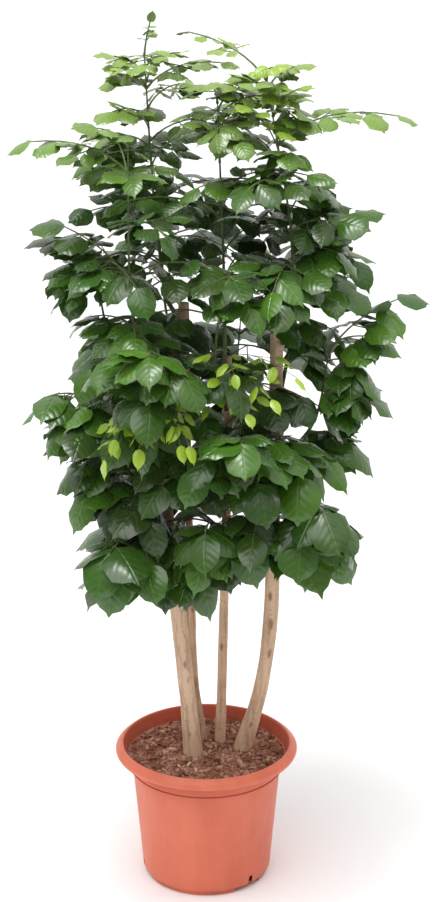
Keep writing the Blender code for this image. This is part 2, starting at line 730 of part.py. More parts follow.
def grow():
    """All shoots, stalks and leaflets, each bent clear of what grew before it."""
    obstacles = Obstacles()
    for name in TRUNKS:
        obstacles.add("trunk", *tube(*trunk_tube(name, CLEARANCE), TRUNK_SIDES))
    for name in SHOOTS:
        centre, _heading, end = shoot_start(name)
        obstacles.add("trunk", *tube([centre, end], [COLLAR_RADIUS + CLEARANCE] * 2, COLLAR_SIDES))
        route = shoot_route(name)
        obstacles.add(name, *tube(route, [SHOOT_RADII[0] + CLEARANCE] * len(route), SHOOT_SIDES))
    leaves = []
    for number, (name, start, heading, tip) in enumerate(leaf_plans()):
        route = plan_stalk(name, number, start, heading, tip, obstacles)
        if route:
            leaves.append({"node": name, "number": number, "route": route, "leaflets": {}})
    for place in ["end"] + [(node, side) for node in range(len(NODE_SHARES)) for side in (-1, 1)]:
        for leaf in list(leaves):
            form = grow_leaflet(leaf, place, obstacles)
            if form:
                leaf["leaflets"][place] = form
            elif place == "end":
                leaves.remove(leaf)
    return leaves


def grow_leaflet(leaf, place, obstacles):
    """One leaflet of a compound leaf, at its end or on a side of one of its nodes."""
    luck = random.Random("%d %d %s" % (SEED, leaf["number"], place))
    route = leaf["route"]
    length = sum((b - a).length for a, b in zip(route, route[1:]))
    if place == "end":
        here, along = stalk_point(route, 1.0)
        stalk = 0.0
    else:
        node, side = place
        here, heading = stalk_point(route, NODE_SHARES[node])
        angle = math.radians(NODE_ANGLES_DEG[node] * -side)
        along = Matrix.Rotation(angle, 3, frame_across(heading, UP)[1]) @ heading
        stalk = max(NODE_STALK_SHARES[node] * length, LEAFLET_STALK)
    droop = read_between(DROOP, here.z)[0] + luck.uniform(-0.15, 0.2)
    along = (along - UP * droop).normalized()
    up = (UP + Vector((luck.uniform(-0.3, 0.3), luck.uniform(-0.4, 0.2), 0))).normalized()
    blade = leaflet_length(here.z) * luck.uniform(0.88, 1.12)
    return blade_clear(obstacles, leaf, here, along, up, stalk, blade, luck)


def make_shoot(name, leaves):
    """One leafy shoot: its stem, joined with its compound leaves."""
    route = shoot_route(name)
    radii = [SHOOT_RADII[0] + (SHOOT_RADII[1] - SHOOT_RADII[0]) * step / SHOOT_STEPS
             for step in range(SHOOT_STEPS + 1)]
    shoot = new_object("shoot_" + name, *tube(route, radii, SHOOT_SIDES),
                       plain_material("leaf_" + name, (0.10, 0.26, 0.04), 0.4))
    grown = [new_object("leaf", *leaf_mesh(leaf)) for leaf in leaves if leaf["node"] == name]
    cut_or_join(shoot, grown, "UNION", "MANIFOLD")
    return shoot


def main():
    clear_scene()
    make_pot()
    make_soil()
    for name in TRUNKS:
        make_trunk(name)
    leaves = grow()
    for name in SHOOTS:
        make_shoot(name, leaves)


main()
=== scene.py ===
# %% [markdown]
# # A potted china doll plant
#
# The object is a house plant one and a half metres tall: four bare woody stems in a
# terracotta-coloured plastic pot, and a crown of glossy compound leaves. The solid model
# already fixes its size and the place of every shoot and leaf. This lesson dresses it:
# each plain solid is replaced by a finer piece that stands exactly where the solid is.

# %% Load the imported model
import math
import random

import bmesh
import bpy
import numpy as np
from mathutils import Matrix, Vector, noise
from mathutils.bvhtree import BVHTree


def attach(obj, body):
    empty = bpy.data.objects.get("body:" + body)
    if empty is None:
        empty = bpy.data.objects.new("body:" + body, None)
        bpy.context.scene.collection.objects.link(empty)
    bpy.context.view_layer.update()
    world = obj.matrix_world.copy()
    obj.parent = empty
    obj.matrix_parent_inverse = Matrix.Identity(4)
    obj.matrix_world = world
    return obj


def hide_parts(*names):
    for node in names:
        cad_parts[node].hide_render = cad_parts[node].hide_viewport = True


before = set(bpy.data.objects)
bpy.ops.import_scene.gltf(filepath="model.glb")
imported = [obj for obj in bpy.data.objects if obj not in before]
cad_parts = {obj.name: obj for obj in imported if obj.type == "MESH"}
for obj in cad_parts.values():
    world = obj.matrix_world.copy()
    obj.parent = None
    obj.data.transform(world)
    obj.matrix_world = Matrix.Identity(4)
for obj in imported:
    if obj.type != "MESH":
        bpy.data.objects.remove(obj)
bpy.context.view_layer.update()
print("nodes:", len(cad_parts))

# %% [markdown]
# ## The camera
#
# The photograph was taken from a little above the plant's top with a long lens, so the
# soil is seen through the pot's mouth while the highest leaves are seen almost edge on.
# The camera stands in front of the plant and is tilted down; a long focal length keeps
# the pot's sides nearly parallel.

# %% Place the camera
CAMERA_PLACE = (0.024, -3.200, 1.8285)
CAMERA_TILT_DEG = 18.07
CAMERA_SENSOR = 36.0
CAMERA_LENS = 79.82


def add_object(name, data):
    thing = bpy.data.objects.new(name, data)
    bpy.context.scene.collection.objects.link(thing)
    return thing


camera = add_object("camera", bpy.data.cameras.new("camera"))
camera.location = CAMERA_PLACE
camera.rotation_euler = (math.radians(90 - CAMERA_TILT_DEG), 0, 0)
camera.data.sensor_width = CAMERA_SENSOR
camera.data.lens = CAMERA_LENS
bpy.context.scene.camera = camera
print("camera at", CAMERA_PLACE)

# %% [markdown]
# ## Shader maths as plain expressions
#
# Materials here are small formulas: a vein is a function of the place on the leaf, a
# bark streak is a noise stretched along the stem. Writing each as Python arithmetic is
# easier to read than a list of nodes and links, so one small class wraps a socket and
# turns every operator into a Math node, and one method makes any other node.

# %% Wrap shader sockets
def operator_method(operation, swapped=False):
    """A method of the class below that makes one kind of Math node."""
    def method(self, *others):
        values = (*others, self) if swapped else (self, *others)
        return self.maths(operation, *values)
    return method


class Value:
    """A shader socket that Python's operators work on."""

    def __init__(self, graph, socket):
        self.graph = graph
        self.socket = socket

    def maths(self, operation, *values):
        return self.graph.node("ShaderNodeMath", {"operation": operation}, dict(enumerate(values)))

    __add__ = operator_method("ADD")
    __radd__ = operator_method("ADD", swapped=True)
    __sub__ = operator_method("SUBTRACT")
    __rsub__ = operator_method("SUBTRACT", swapped=True)
    __mul__ = operator_method("MULTIPLY")
    __truediv__ = operator_method("DIVIDE")
    __pow__ = operator_method("POWER")
    __abs__ = operator_method("ABSOLUTE")
    decimals = operator_method("FRACT")

    def limited(self):
        return self.graph.node("ShaderNodeClamp", inputs={"Value": self})

    def between(self, low, high):
        """A soft step from 0 at low to 1 at high."""
        return self.graph.node("ShaderNodeMapRange", {"interpolation_type": "SMOOTHSTEP"},
                               {"Value": self, "From Min": low, "From Max": high})


class Graph:
    """The nodes of a material or world, all made by one method."""

    def __init__(self, owner, shader_name="Principled BSDF", **constants):
        owner.use_nodes = True
        self.owner = owner
        self.tree = owner.node_tree
        self.shader = self.tree.nodes[shader_name]
        for socket, value in constants.items():
            self.shader.inputs[socket.replace("_", " ")].default_value = value

    def node(self, kind, settings=None, inputs=None, output=0):
        made = self.tree.nodes.new(kind)
        for setting, value in (settings or {}).items():
            if setting == "stops":
                self.fill_ramp(made.color_ramp, value)
            else:
                setattr(made, setting, value)
        for socket, value in (inputs or {}).items():
            self.connect(made.inputs[socket], value)
        return Value(self, made.outputs[output])

    def fill_ramp(self, ramp, stops):
        while len(ramp.elements) < len(stops):
            ramp.elements.new(1.0)
        for element, (place, colour) in zip(ramp.elements, stops):
            element.position = place
            element.color = (*colour, 1.0)

    def connect(self, socket, value):
        if isinstance(value, Value):
            self.tree.links.new(value.socket, socket)
        elif isinstance(value, tuple) and len(value) == 3 and len(socket.default_value) == 4:
            socket.default_value = (*value, 1.0)
        else:
            socket.default_value = value

    def colour_mix(self, share, first, second):
        return self.node("ShaderNodeMix", {"data_type": "RGBA"}, {0: share, 6: first, 7: second}, 2)

    def place(self):
        return self.node("ShaderNodeTexCoord", output="Object")

    def stretched(self, place, factors):
        return self.node("ShaderNodeVectorMath", {"operation": "MULTIPLY"}, {0: place, 1: factors})

    def noise(self, place, scale, detail=3.0, roughness=0.5):
        return self.node("ShaderNodeTexNoise",
                         inputs={"Vector": place, "Scale": scale, "Detail": detail, "Roughness": roughness})

    def ramp(self, share, stops):
        return self.node("ShaderNodeValToRGB", {"stops": stops}, {0: share})

    def parts_of(self, vector):
        split = self.tree.nodes.new("ShaderNodeSeparateXYZ")
        self.connect(split.inputs[0], vector)
        return [Value(self, socket) for socket in split.outputs]

    def marks(self, name):
        """The red, green, blue and alpha of an attribute that the mesh carries."""
        source = self.tree.nodes.new("ShaderNodeAttribute")
        source.attribute_name = name
        split = self.tree.nodes.new("ShaderNodeSeparateColor")
        self.tree.links.new(source.outputs["Color"], split.inputs[0])
        return [Value(self, socket) for socket in split.outputs] + [Value(self, source.outputs["Alpha"])]

    def bump(self, height, distance, strength):
        return self.node("ShaderNodeBump",
                         inputs={"Height": height, "Distance": distance, "Strength": strength})

    def finish(self, **sockets):
        for socket, value in sockets.items():
            self.connect(self.shader.inputs[socket.replace("_", " ")], value)
        return self.owner


def material_graph(name, **constants):
    return Graph(bpy.data.materials.new(name), **constants)


print("shader helpers ready")

# %% [markdown]
# ## Floor and light
#
# A plain studio: a very large pale floor that fills the picture, and a white sky that is
# bright overhead and behind the plant, and dim in front of it. Light from overhead keeps
# the leaves' greens deep where they face the camera and puts a white sheen only on those
# that face up, as in the photograph. One broad sun and one high lamp add soft highlights.

# %% Build the studio
FLOOR_SIZE = 160.0
FLOOR_PLACE = (0, 60, -0.0005)
SKY_FRONT = 0.28
SKY_BEHIND = 0.90
SKY_OVERHEAD = 1.18
SUN_STRENGTH = 1.15
SUN_ANGLE_DEG = 50.0
SUN_TURN_DEG = (25, -14, 0)
SUN_PLACE = (0, 0, 4)
LAMP_PLACE = (-0.5, -0.6, 5.0)
LAMP_AIM = (0, 0, 0.9)
LAMP_SIZE = 1.2
LAMP_POWER = 70.0
FLOOR_CLOUD_SCALE = 0.6
FLOOR_GREYS = [(0.3, (0.90, 0.90, 0.90)), (0.7, (0.93, 0.93, 0.93))]

bpy.ops.mesh.primitive_plane_add(size=FLOOR_SIZE, location=FLOOR_PLACE)
floor = bpy.context.active_object
floor.name = "floor"


def floor_paper():
    graph = material_graph("floor_paper", Roughness=0.9)
    cloud = graph.noise(graph.place(), FLOOR_CLOUD_SCALE)
    return graph.finish(Base_Color=graph.ramp(cloud, FLOOR_GREYS))


def studio_sky():
    graph = Graph(bpy.data.worlds.new("studio"), "Background", Color=(1.0, 1.0, 1.0, 1.0))
    _x, depth, height = graph.parts_of(graph.node("ShaderNodeTexCoord", output="Generated"))
    round_it = SKY_FRONT + depth.between(-0.3, 0.6) * (SKY_BEHIND - SKY_FRONT)
    overhead = height.between(0.30, 0.90)
    return graph.finish(Strength=round_it * (1 - overhead) + overhead * SKY_OVERHEAD)


def add_light(light_name, kind, place, turn, **settings):
    light = bpy.data.lights.new(light_name, kind)
    for setting, value in settings.items():
        setattr(light, setting, value)
    holder = add_object(light_name, light)
    holder.location = place
    holder.rotation_euler = turn


floor.data.materials.append(floor_paper())
bpy.context.scene.world = studio_sky()
add_light("sun", "SUN", SUN_PLACE, [math.radians(turn) for turn in SUN_TURN_DEG],
          energy=SUN_STRENGTH, angle=math.radians(SUN_ANGLE_DEG))
lamp_line = Vector(LAMP_AIM) - Vector(LAMP_PLACE)
add_light("high_lamp", "AREA", LAMP_PLACE, lamp_line.to_track_quat("-Z", "Y").to_euler(),
          energy=LAMP_POWER, size=LAMP_SIZE)
bpy.context.scene.view_settings.view_transform = "Standard"
print("sun strength:", SUN_STRENGTH, "lamp power:", LAMP_POWER)

# %% [markdown]
# ## A few helpers for modelling
#
# Operators act on whatever is selected, and the loaded solids start out selected. So each
# step first selects one object only, and vertices and faces are then picked by their place.

# %% Select, edit, apply and join
def select_only(thing):
    bpy.ops.object.select_all(action="DESELECT")
    thing.select_set(True)
    bpy.context.view_layer.objects.active = thing


def edit(thing):
    select_only(thing)
    bpy.ops.object.mode_set(mode="EDIT")
    bpy.ops.mesh.select_mode(type="VERT")
    bpy.ops.mesh.select_all(action="DESELECT")


def leave_edit():
    bpy.ops.object.mode_set(mode="OBJECT")


def pick_vertices(thing, wanted):
    """In edit mode, select just the vertices whose place is wanted."""
    shape = bmesh.from_edit_mesh(thing.data)
    for vertex in shape.verts:
        vertex.select = bool(wanted(vertex.co))
    shape.select_flush(True)
    shape.select_flush(False)
    bmesh.update_edit_mesh(thing.data)


def apply_modifier(thing, kind, **settings):
    select_only(thing)
    modifier = thing.modifiers.new(kind, kind)
    for setting, value in settings.items():
        setattr(modifier, setting, value)
    bpy.ops.object.modifier_apply(modifier=modifier.name)


def join(things, name):
    select_only(things[0])
    for thing in things:
        thing.select_set(True)
    bpy.ops.object.join()
    things[0].name = name
    return things[0]


def smooth_by_angle(thing, degrees):
    select_only(thing)
    bpy.ops.object.shade_smooth_by_angle(angle=math.radians(degrees))


def triangles(thing):
    thing.data.calc_loop_triangles()
    return len(thing.data.loop_triangles)


def dress(piece, material, slot, *nodes):
    """Give a finished piece its material and body, and hide the solids that it stands for; the slot is not
    used.
    """
    piece.data.materials.clear()
    piece.data.materials.append(material)
    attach(piece, "root")
    if nodes:
        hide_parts(*nodes)
    print(piece.name, "triangles:", triangles(piece))


print("modelling helpers ready")

# %% [markdown]
# ## The pot
#
# The real pot is injection moulded: a tapered wall, a rounded lip that slopes outwards, a
# short neck under it with a bead and a groove below, and a floor with feet and drain
# holes. A turned shape is best made by drawing one half of its section and spinning it,
# so the section is traced point by point from a single vertex, and then spun once round.

# %% Trace and spin the pot's wall
POT_STEPS = 96
RIM_CENTRE = (0.1528, 0.2355)
RIM_RADIUS = 0.0072
RIM_ARC_DEG = (-128, 34)
RIM_STEPS = 14
LIP_EDGE_CENTRE = (0.1486, 0.2448)
LIP_EDGE_RADIUS = 0.0026
LIP_EDGE_ARC_DEG = (50, 180)
LIP_EDGE_STEPS = 9
WELD_DISTANCE = 0.00002
POT_SECTION_BELOW = [
    (0.0, 0.006), (0.060, 0.006), (0.1050, 0.006), (0.1090, 0.0071), (0.1120, 0.0093), (0.1134, 0.0128),
    (0.1139, 0.0160), (0.1180, 0.0640), (0.1245, 0.1370), (0.1298, 0.1962), (0.1299, 0.1990),
    (0.1330, 0.1995), (0.1342, 0.2003), (0.1345, 0.2020), (0.1341, 0.2032), (0.1320, 0.2038),
    (0.1320, 0.2052), (0.1342, 0.2062), (0.1347, 0.2150), (0.1343, 0.2166), (0.1350, 0.2184),
    (0.1390, 0.2213), (0.1432, 0.2236), (0.1446, 0.2252), (0.1456, 0.2278),
]
POT_SECTION_INSIDE = [
    (0.1452, 0.2400), (0.1428, 0.2320), (0.1402, 0.2232), (0.1306, 0.2185), (0.1296, 0.2110),
    (0.1290, 0.2050), (0.1280, 0.1980), (0.1255, 0.1700), (0.1120, 0.0160), (0.1100, 0.0110),
    (0.1050, 0.0085), (0.0600, 0.0085), (0.0, 0.0085),
]


def arc_points(centre, radius, arc_deg, steps):
    start_deg, end_deg = arc_deg
    points = []
    for step in range(steps + 1):
        angle = math.radians(start_deg + (end_deg - start_deg) * step / steps)
        points.append((centre[0] + radius * math.cos(angle), centre[1] + radius * math.sin(angle)))
    return points


def single_vertex(name, place):
    bpy.ops.object.select_all(action="DESELECT")
    bpy.ops.mesh.primitive_plane_add(size=0.001)
    thing = bpy.context.active_object
    thing.name = name
    edit(thing)
    bpy.ops.mesh.select_all(action="SELECT")
    bpy.ops.mesh.merge(type="CENTER")
    bpy.ops.transform.translate(value=place)
    return thing


def trace_section(name, section):
    """Draw a section as a chain of edges, and stay in edit mode."""
    thing = single_vertex(name, (section[0][0], 0, section[0][1]))
    for (radius, height), (next_radius, next_height) in zip(section, section[1:]):
        move = (next_radius - radius, 0, next_height - height)
        bpy.ops.mesh.extrude_vertices_move(TRANSFORM_OT_translate={"value": move})
    bpy.ops.mesh.select_all(action="SELECT")
    return thing


def spin_traced(steps, angle):
    """Spin what was drawn about the pot's axis, weld its seams and leave edit mode."""
    bpy.ops.mesh.spin(steps=steps, angle=angle, center=(0, 0, 0), axis=(0, 0, 1))
    bpy.ops.mesh.select_all(action="SELECT")
    bpy.ops.mesh.remove_doubles(threshold=WELD_DISTANCE)
    bpy.ops.mesh.normals_make_consistent(inside=False)
    leave_edit()


rim_section = arc_points(RIM_CENTRE, RIM_RADIUS, RIM_ARC_DEG, RIM_STEPS)
rim_section += arc_points(LIP_EDGE_CENTRE, LIP_EDGE_RADIUS, LIP_EDGE_ARC_DEG, LIP_EDGE_STEPS)
pot = trace_section("plastic_pot", POT_SECTION_BELOW + rim_section + POT_SECTION_INSIDE)
spin_traced(POT_STEPS, math.tau)
print("pot wall triangles:", triangles(pot))

# %% [markdown]
# ### Feet and drain holes
#
# Three curved feet and a centre pad lift the floor, so that water can leave through the
# holes. Each foot is a small section spun through its own arc. One Boolean joins them to
# the pot, and another cuts the holes, three in the floor and three at the base's corner.

# %% Add the feet and cut the drains
FOOT_SECTION = [(0.0979, 0.0), (0.1069, 0.0), (0.1075, 0.0007), (0.1075, 0.0072),
                (0.0975, 0.0072), (0.0975, 0.0004)]
FOOT_ARC_DEG = 88.0
FOOT_STEPS = 24
FOOT_COUNT = 3
FIRST_FOOT_DEG = -107.0
PAD_RADIUS = 0.022
PAD_SIDES = 48
FOOT_HEIGHT = 0.007
DRAIN_RADIUS = 0.0055
DRAIN_CIRCLES = ((0.5, 0.1105), (0.0, 0.047))
DRAIN_DEPTH = 0.05
DRAIN_SIDES = 24
POT_SMOOTH_DEG = 38


def boolean(thing, others, operation):
    for other in others:
        apply_modifier(thing, "BOOLEAN", operation=operation, solver="EXACT", object=other)
        bpy.data.objects.remove(other)


def make_foot(centre_deg):
    foot = trace_section("foot", FOOT_SECTION)
    bpy.ops.mesh.edge_face_add()
    spin_traced(FOOT_STEPS, math.radians(FOOT_ARC_DEG))
    middle = sum((vertex.co for vertex in foot.data.vertices), Vector()) / len(foot.data.vertices)
    turn = math.radians(centre_deg) - math.atan2(middle.y, middle.x)
    foot.data.transform(Matrix.Rotation(turn, 4, "Z"))
    return foot


def upright_cylinder(radius, place, depth, sides):
    bpy.ops.object.select_all(action="DESELECT")
    bpy.ops.mesh.primitive_cylinder_add(vertices=sides, radius=radius, depth=depth, location=place)
    thing = bpy.context.active_object
    bpy.ops.object.transform_apply(location=True, rotation=True, scale=True)
    return thing


foot_angles = [FIRST_FOOT_DEG + 360.0 / FOOT_COUNT * index for index in range(FOOT_COUNT)]
feet = [make_foot(angle) for angle in foot_angles]
feet.append(upright_cylinder(PAD_RADIUS, (0, 0, 0.5 * FOOT_HEIGHT), FOOT_HEIGHT, PAD_SIDES))
boolean(pot, feet, "UNION")
drains = []
for foot_angle in foot_angles:
    for turn, radius in DRAIN_CIRCLES:
        angle = math.radians(foot_angle + turn * 360.0 / FOOT_COUNT)
        place = (radius * math.cos(angle), radius * math.sin(angle), 0)
        drains.append(upright_cylinder(DRAIN_RADIUS, place, DRAIN_DEPTH, DRAIN_SIDES))
boolean(pot, drains, "DIFFERENCE")
smooth_by_angle(pot, POT_SMOOTH_DEG)
print("pot with feet and drains:", triangles(pot))

# %% [markdown]
# ### The pot's plastic
#
# The plastic is coloured right through, between orange and brick red, with a satin skin.
# Handling leaves faint cloudy marks and fine specks, and potting leaves brown dust on the
# inner wall near the soil and a little grime at the foot. The inner wall is also painted a
# deeper red as painted shade, which fades out towards the lip. All are masks from noise,
# height and a stored mark of the inner wall, so no texture needs to be painted.

# %% Mix the plastic
POT_COLOUR = (0.735, 0.178, 0.098)
POT_SHADE = (0.640, 0.138, 0.074)
# Painted shade: a deeper red for the inner wall.
POT_INSIDE_PAINTED_SHADE = (0.520, 0.085, 0.045)
POT_DUST = (0.300, 0.095, 0.055)
INSIDE_ABOVE = 0.015
DUST_FADE = (0.222, 0.238)
INSIDE_SHADE_LIP_FADE = (0.238, 0.244)
GRIME_FADE = (0.0, 0.02)


def mark_inside(pot):
    """Store which of the pot's points face its axis, for the dust and the painted shade of deeper red there.
    """
    marks = pot.data.attributes.new("pot", "FLOAT_COLOR", "POINT")
    values = []
    for vertex in pot.data.vertices:
        outward = vertex.normal.x * vertex.co.x + vertex.normal.y * vertex.co.y
        values += [1.0 if outward < 0 and vertex.co.z > INSIDE_ABOVE else 0.0, 0.0, 0.0, 1.0]
    marks.data.foreach_set("color", values)


def pot_plastic():
    graph = material_graph("pot_plastic", Specular_IOR_Level=0.45)
    place = graph.place()
    inside = graph.marks("pot")[0]
    z = graph.parts_of(place)[2]
    cloud = graph.noise(place, 9.0, 4.0, 0.6)
    flow = graph.noise(graph.stretched(place, (26.0, 26.0, 3.0)), 1.0, 3.0, 0.6)
    specks = graph.noise(place, 420.0, 2.0, 0.7)
    colour = graph.colour_mix((cloud * 0.55 + flow * 0.45).between(0.35, 0.68), POT_COLOUR, POT_SHADE)
    # Painted shade: the inner wall is made a deeper red, fading out towards the lip.
    colour = graph.colour_mix(inside * (1 - z.between(*INSIDE_SHADE_LIP_FADE)) * 0.5, colour, POT_INSIDE_PAINTED_SHADE)
    dust = inside * (1 - z.between(*DUST_FADE)) * graph.noise(place, 55.0, 4.0, 0.7).between(0.3, 0.6)
    colour = graph.colour_mix(dust * 0.7, colour, POT_DUST)
    grime = (1 - z.between(*GRIME_FADE)) * cloud.between(0.4, 0.7) * 0.4
    colour = graph.colour_mix(grime, colour, POT_DUST)
    rough = 0.36 + cloud * 0.14 + dust * 0.3 + specks * 0.06
    ripple = graph.noise(graph.stretched(place, (9.0, 9.0, 2.0)), 1.0, 2.0)
    normal = graph.bump(ripple * 0.8 + specks * 0.05, 0.0012, 0.5)
    return graph.finish(Base_Color=colour, Roughness=rough, Normal=normal)


mark_inside(pot)
dress(pot, pot_plastic(), "pot_plastic", "pot")

# %% [markdown]
# ## Routes and widths of the woody stems
#
# The four stems, the green shoots and the leaves are placed by the same rules as the
# solid model: the same named points, and the same seeded choices in the same order. That
# is why this cell and the next ones repeat them. A woody stem has a few points that a
# smooth curve runs through, and a radius at each end. A shoot has the stem it grows from,
# the height where it leaves it, two more points, and how many pairs of leaves it bears.

# %% Repeat the solid stems
SEED = 7
GAP = 0.0003
SOIL_HEIGHT = 0.223
TRUNK_SIDES = 8
TRUNK_STEPS = 9
FLARE = 0.16
FLARE_HEIGHT = 0.03
TRUNKS = {
    "left_front": {
        "route": [(-0.020, -0.002, 0.12), (-0.0235, -0.003, 0.223), (-0.035, -0.008, 0.36),
                  (-0.0485, -0.013, 0.50), (-0.074, -0.018, 0.74), (-0.090, -0.020, 0.97)],
        "radii": (0.0155, 0.0118),
    },
    "left_back": {
        "route": [(-0.008, 0.056, 0.12), (-0.0105, 0.058, 0.223), (-0.025, 0.066, 0.34),
                  (-0.030, 0.074, 0.50), (-0.036, 0.086, 0.78), (-0.037, 0.090, 1.02)],
        "radii": (0.0110, 0.0094),
    },
    "middle": {
        "route": [(0.0240, 0.043, 0.12), (0.0245, 0.043, 0.223), (0.0280, 0.043, 0.35),
                  (0.0315, 0.043, 0.50), (0.036, 0.040, 0.74), (0.037, 0.035, 0.94)],
        "radii": (0.0092, 0.0076),
    },
    "right": {
        "route": [(0.030, 0.021, 0.12), (0.0640, 0.020, 0.223), (0.0965, 0.018, 0.345),
                  (0.1125, 0.014, 0.49), (0.1150, 0.010, 0.74), (0.118, 0.006, 0.99)],
        "radii": (0.0148, 0.0110),
    },
}
SHOOTS = {
    "left_front_low": ("left_front", 0.60, [(-0.090, -0.080, 0.650), (-0.115, -0.130, 0.680)], 2),
    "left_front_side": ("left_front", 0.70, [(-0.145, -0.050, 0.790), (-0.190, -0.055, 0.890)], 2),
    "left_front_face": ("left_front", 0.82, [(-0.095, -0.105, 0.900), (-0.085, -0.175, 1.000)], 2),
    "left_front_mid": ("left_front", 0.89, [(-0.160, -0.025, 1.000), (-0.180, -0.025, 1.130)], 2),
    "left_front_top": ("left_front", 0.94, [(-0.120, -0.075, 1.080), (-0.120, -0.080, 1.310)], 3),
    "left_back_low": ("left_back", 0.66, [(-0.100, 0.150, 0.740), (-0.135, 0.180, 0.840)], 2),
    "left_back_mid": ("left_back", 0.88, [(-0.070, 0.165, 0.990), (-0.085, 0.190, 1.130)], 2),
    "left_back_top": ("left_back", 0.99, [(-0.085, 0.080, 1.190), (-0.098, 0.060, 1.435)], 4),
    "middle_low": ("middle", 0.62, [(0.020, -0.050, 0.670), (0.010, -0.120, 0.700)], 2),
    "middle_face": ("middle", 0.74, [(0.045, -0.085, 0.800), (0.050, -0.170, 0.860)], 3),
    "middle_front": ("middle", 0.84, [(0.015, -0.090, 0.960), (0.030, -0.150, 1.110)], 2),
    "middle_back": ("middle", 0.78, [(0.050, 0.150, 0.860), (0.060, 0.200, 0.960)], 2),
    "middle_top": ("middle", 0.91, [(0.030, 0.000, 1.100), (0.020, -0.020, 1.370)], 4),
    "right_low": ("right", 0.63, [(0.140, -0.070, 0.690), (0.155, -0.115, 0.730)], 2),
    "right_side": ("right", 0.76, [(0.185, -0.010, 0.850), (0.205, -0.015, 0.970)], 2),
    "right_back": ("right", 0.84, [(0.150, 0.130, 0.980), (0.150, 0.165, 1.120)], 2),
    "right_top": ("right", 0.96, [(0.140, -0.030, 1.150), (0.098, -0.020, 1.405)], 4),
}
COLLAR_LENGTH = 0.009
COLLAR_RADIUS = 0.0068
COLLAR_SIDES = 6
print("woody stems:", len(TRUNKS), "green shoots:", len(SHOOTS))

# %% [markdown]
# ### Curves, tables and tubes
#
# A few small tools serve what follows. One reads a table between its rows, and one draws
# a smooth curve through points. One lays rings of vertices round a curve, which gives
# plain tubes like those of the solid model; here they only say where room is taken.

# %% Read tables and follow curves
def read_between(table, height):
    """A row of a table of heights, read between its entries on straight lines."""
    if height <= table[0][0]:
        return table[0][1:]
    for low, high in zip(table, table[1:]):
        if height <= high[0]:
            share = (height - low[0]) / (high[0] - low[0])
            return tuple(a + (b - a) * share for a, b in zip(low[1:], high[1:]))
    return table[-1][1:]


def smooth_route(points, steps):
    """Points along a smooth curve through the given ones, at even steps."""
    points = [Vector(p) for p in points]
    ends = [points[0] * 2 - points[1]] + points + [points[-1] * 2 - points[-2]]
    spans = len(points) - 1
    route = []
    for step in range(steps + 1):
        place = spans * step / steps
        span = min(int(place), spans - 1)
        t = place - span
        a, b, c, d = ends[span:span + 4]
        route.append(0.5 * (2 * b + (c - a) * t + (2 * a - 5 * b + 4 * c - d) * t * t
                            + (3 * b - a - 3 * c + d) * t ** 3))
    return route


def directions_along(route):
    headings = []
    for index in range(len(route)):
        before = route[max(index - 1, 0)]
        after = route[min(index + 1, len(route) - 1)]
        headings.append((after - before).normalized())
    return headings


def frame_across(heading, up):
    """Two directions across a heading: to its right, and up from it."""
    right = heading.cross(up)
    if right.length < 1e-6:
        right = heading.cross(Vector((1, 0, 0)))
    right.normalize()
    return right, right.cross(heading).normalized()


def tube(route, radii, sides, up=Vector((0, 1, 0))):
    """The vertices and faces of a closed tube with flat ends."""
    vertices, faces = [], []
    for point, heading, radius in zip(route, directions_along(route), radii):
        right, above = frame_across(heading, up)
        for side in range(sides):
            angle = 2 * math.pi * side / sides
            vertices.append(point + right * (radius * math.cos(angle)) + above * (radius * math.sin(angle)))
    for ring in range(len(route) - 1):
        for side in range(sides):
            a = ring * sides + side
            b = ring * sides + (side + 1) % sides
            faces.append((a, b, b + sides, a + sides))
    faces.append(tuple(range(sides)))
    last = (len(route) - 1) * sides
    faces.append(tuple(range(last, last + sides)))
    return vertices, faces


print("points of a test curve:", len(smooth_route([(0, 0, 0), (0, 0, 1)], TRUNK_STEPS)))

# %% [markdown]
# ### Where stems and shoots run
#
# A woody stem tapers, swells a little by chance and flares at the soil. A shoot starts on
# a short collar that points outwards and up, so its foot is found from the stem's curve.

# %% Routes of stems and feet of shoots
def trunk_tube(name, extra_radius=0.0):
    """A woody stem's route and radii."""
    shape = TRUNKS[name]
    route = smooth_route(shape["route"], TRUNK_STEPS)
    base, top = shape["radii"]
    wobble = random.Random(SEED + len(name))
    radii = []
    for step, point in enumerate(route):
        swell = wobble.uniform(0.97, 1.05)
        flare = 1.0 + FLARE * math.exp(-((point.z - SOIL_HEIGHT) / FLARE_HEIGHT) ** 2)
        radii.append((base + (top - base) * step / TRUNK_STEPS) * swell * flare + extra_radius)
    return route, radii


def point_at_height(route, height):
    for low, high in zip(route, route[1:]):
        if low.z <= height <= high.z:
            return low.lerp(high, (height - low.z) / (high.z - low.z))
    return route[-1]


def shoot_start(name):
    """The place and heading of a shoot's flat start, just off its collar."""
    trunk_name, height, points, _pairs = SHOOTS[name]
    route, radii = trunk_tube(trunk_name)
    centre = point_at_height(route, height)
    towards = Vector(points[0]) - centre
    level = Vector((towards.x, towards.y, 0)).normalized()
    heading = (level * 0.8 + Vector((0, 0, 0.6))).normalized()
    return centre, heading, centre + heading * (sum(radii) / len(radii) + COLLAR_LENGTH)


print("first shoot starts at:", [round(value, 3) for value in shoot_start("left_front_low")[2]])

# %% [markdown]
# ## Curves with a width
#
# Stems and stalks are long and thin, and a curve is the natural start for such a thing:
# a few points, each with a radius, and Blender puts a round skin over them. Converting
# the curve to a mesh makes it a piece like any other.

# %% A helper that skins routes
CURVE_UNIT = 0.001


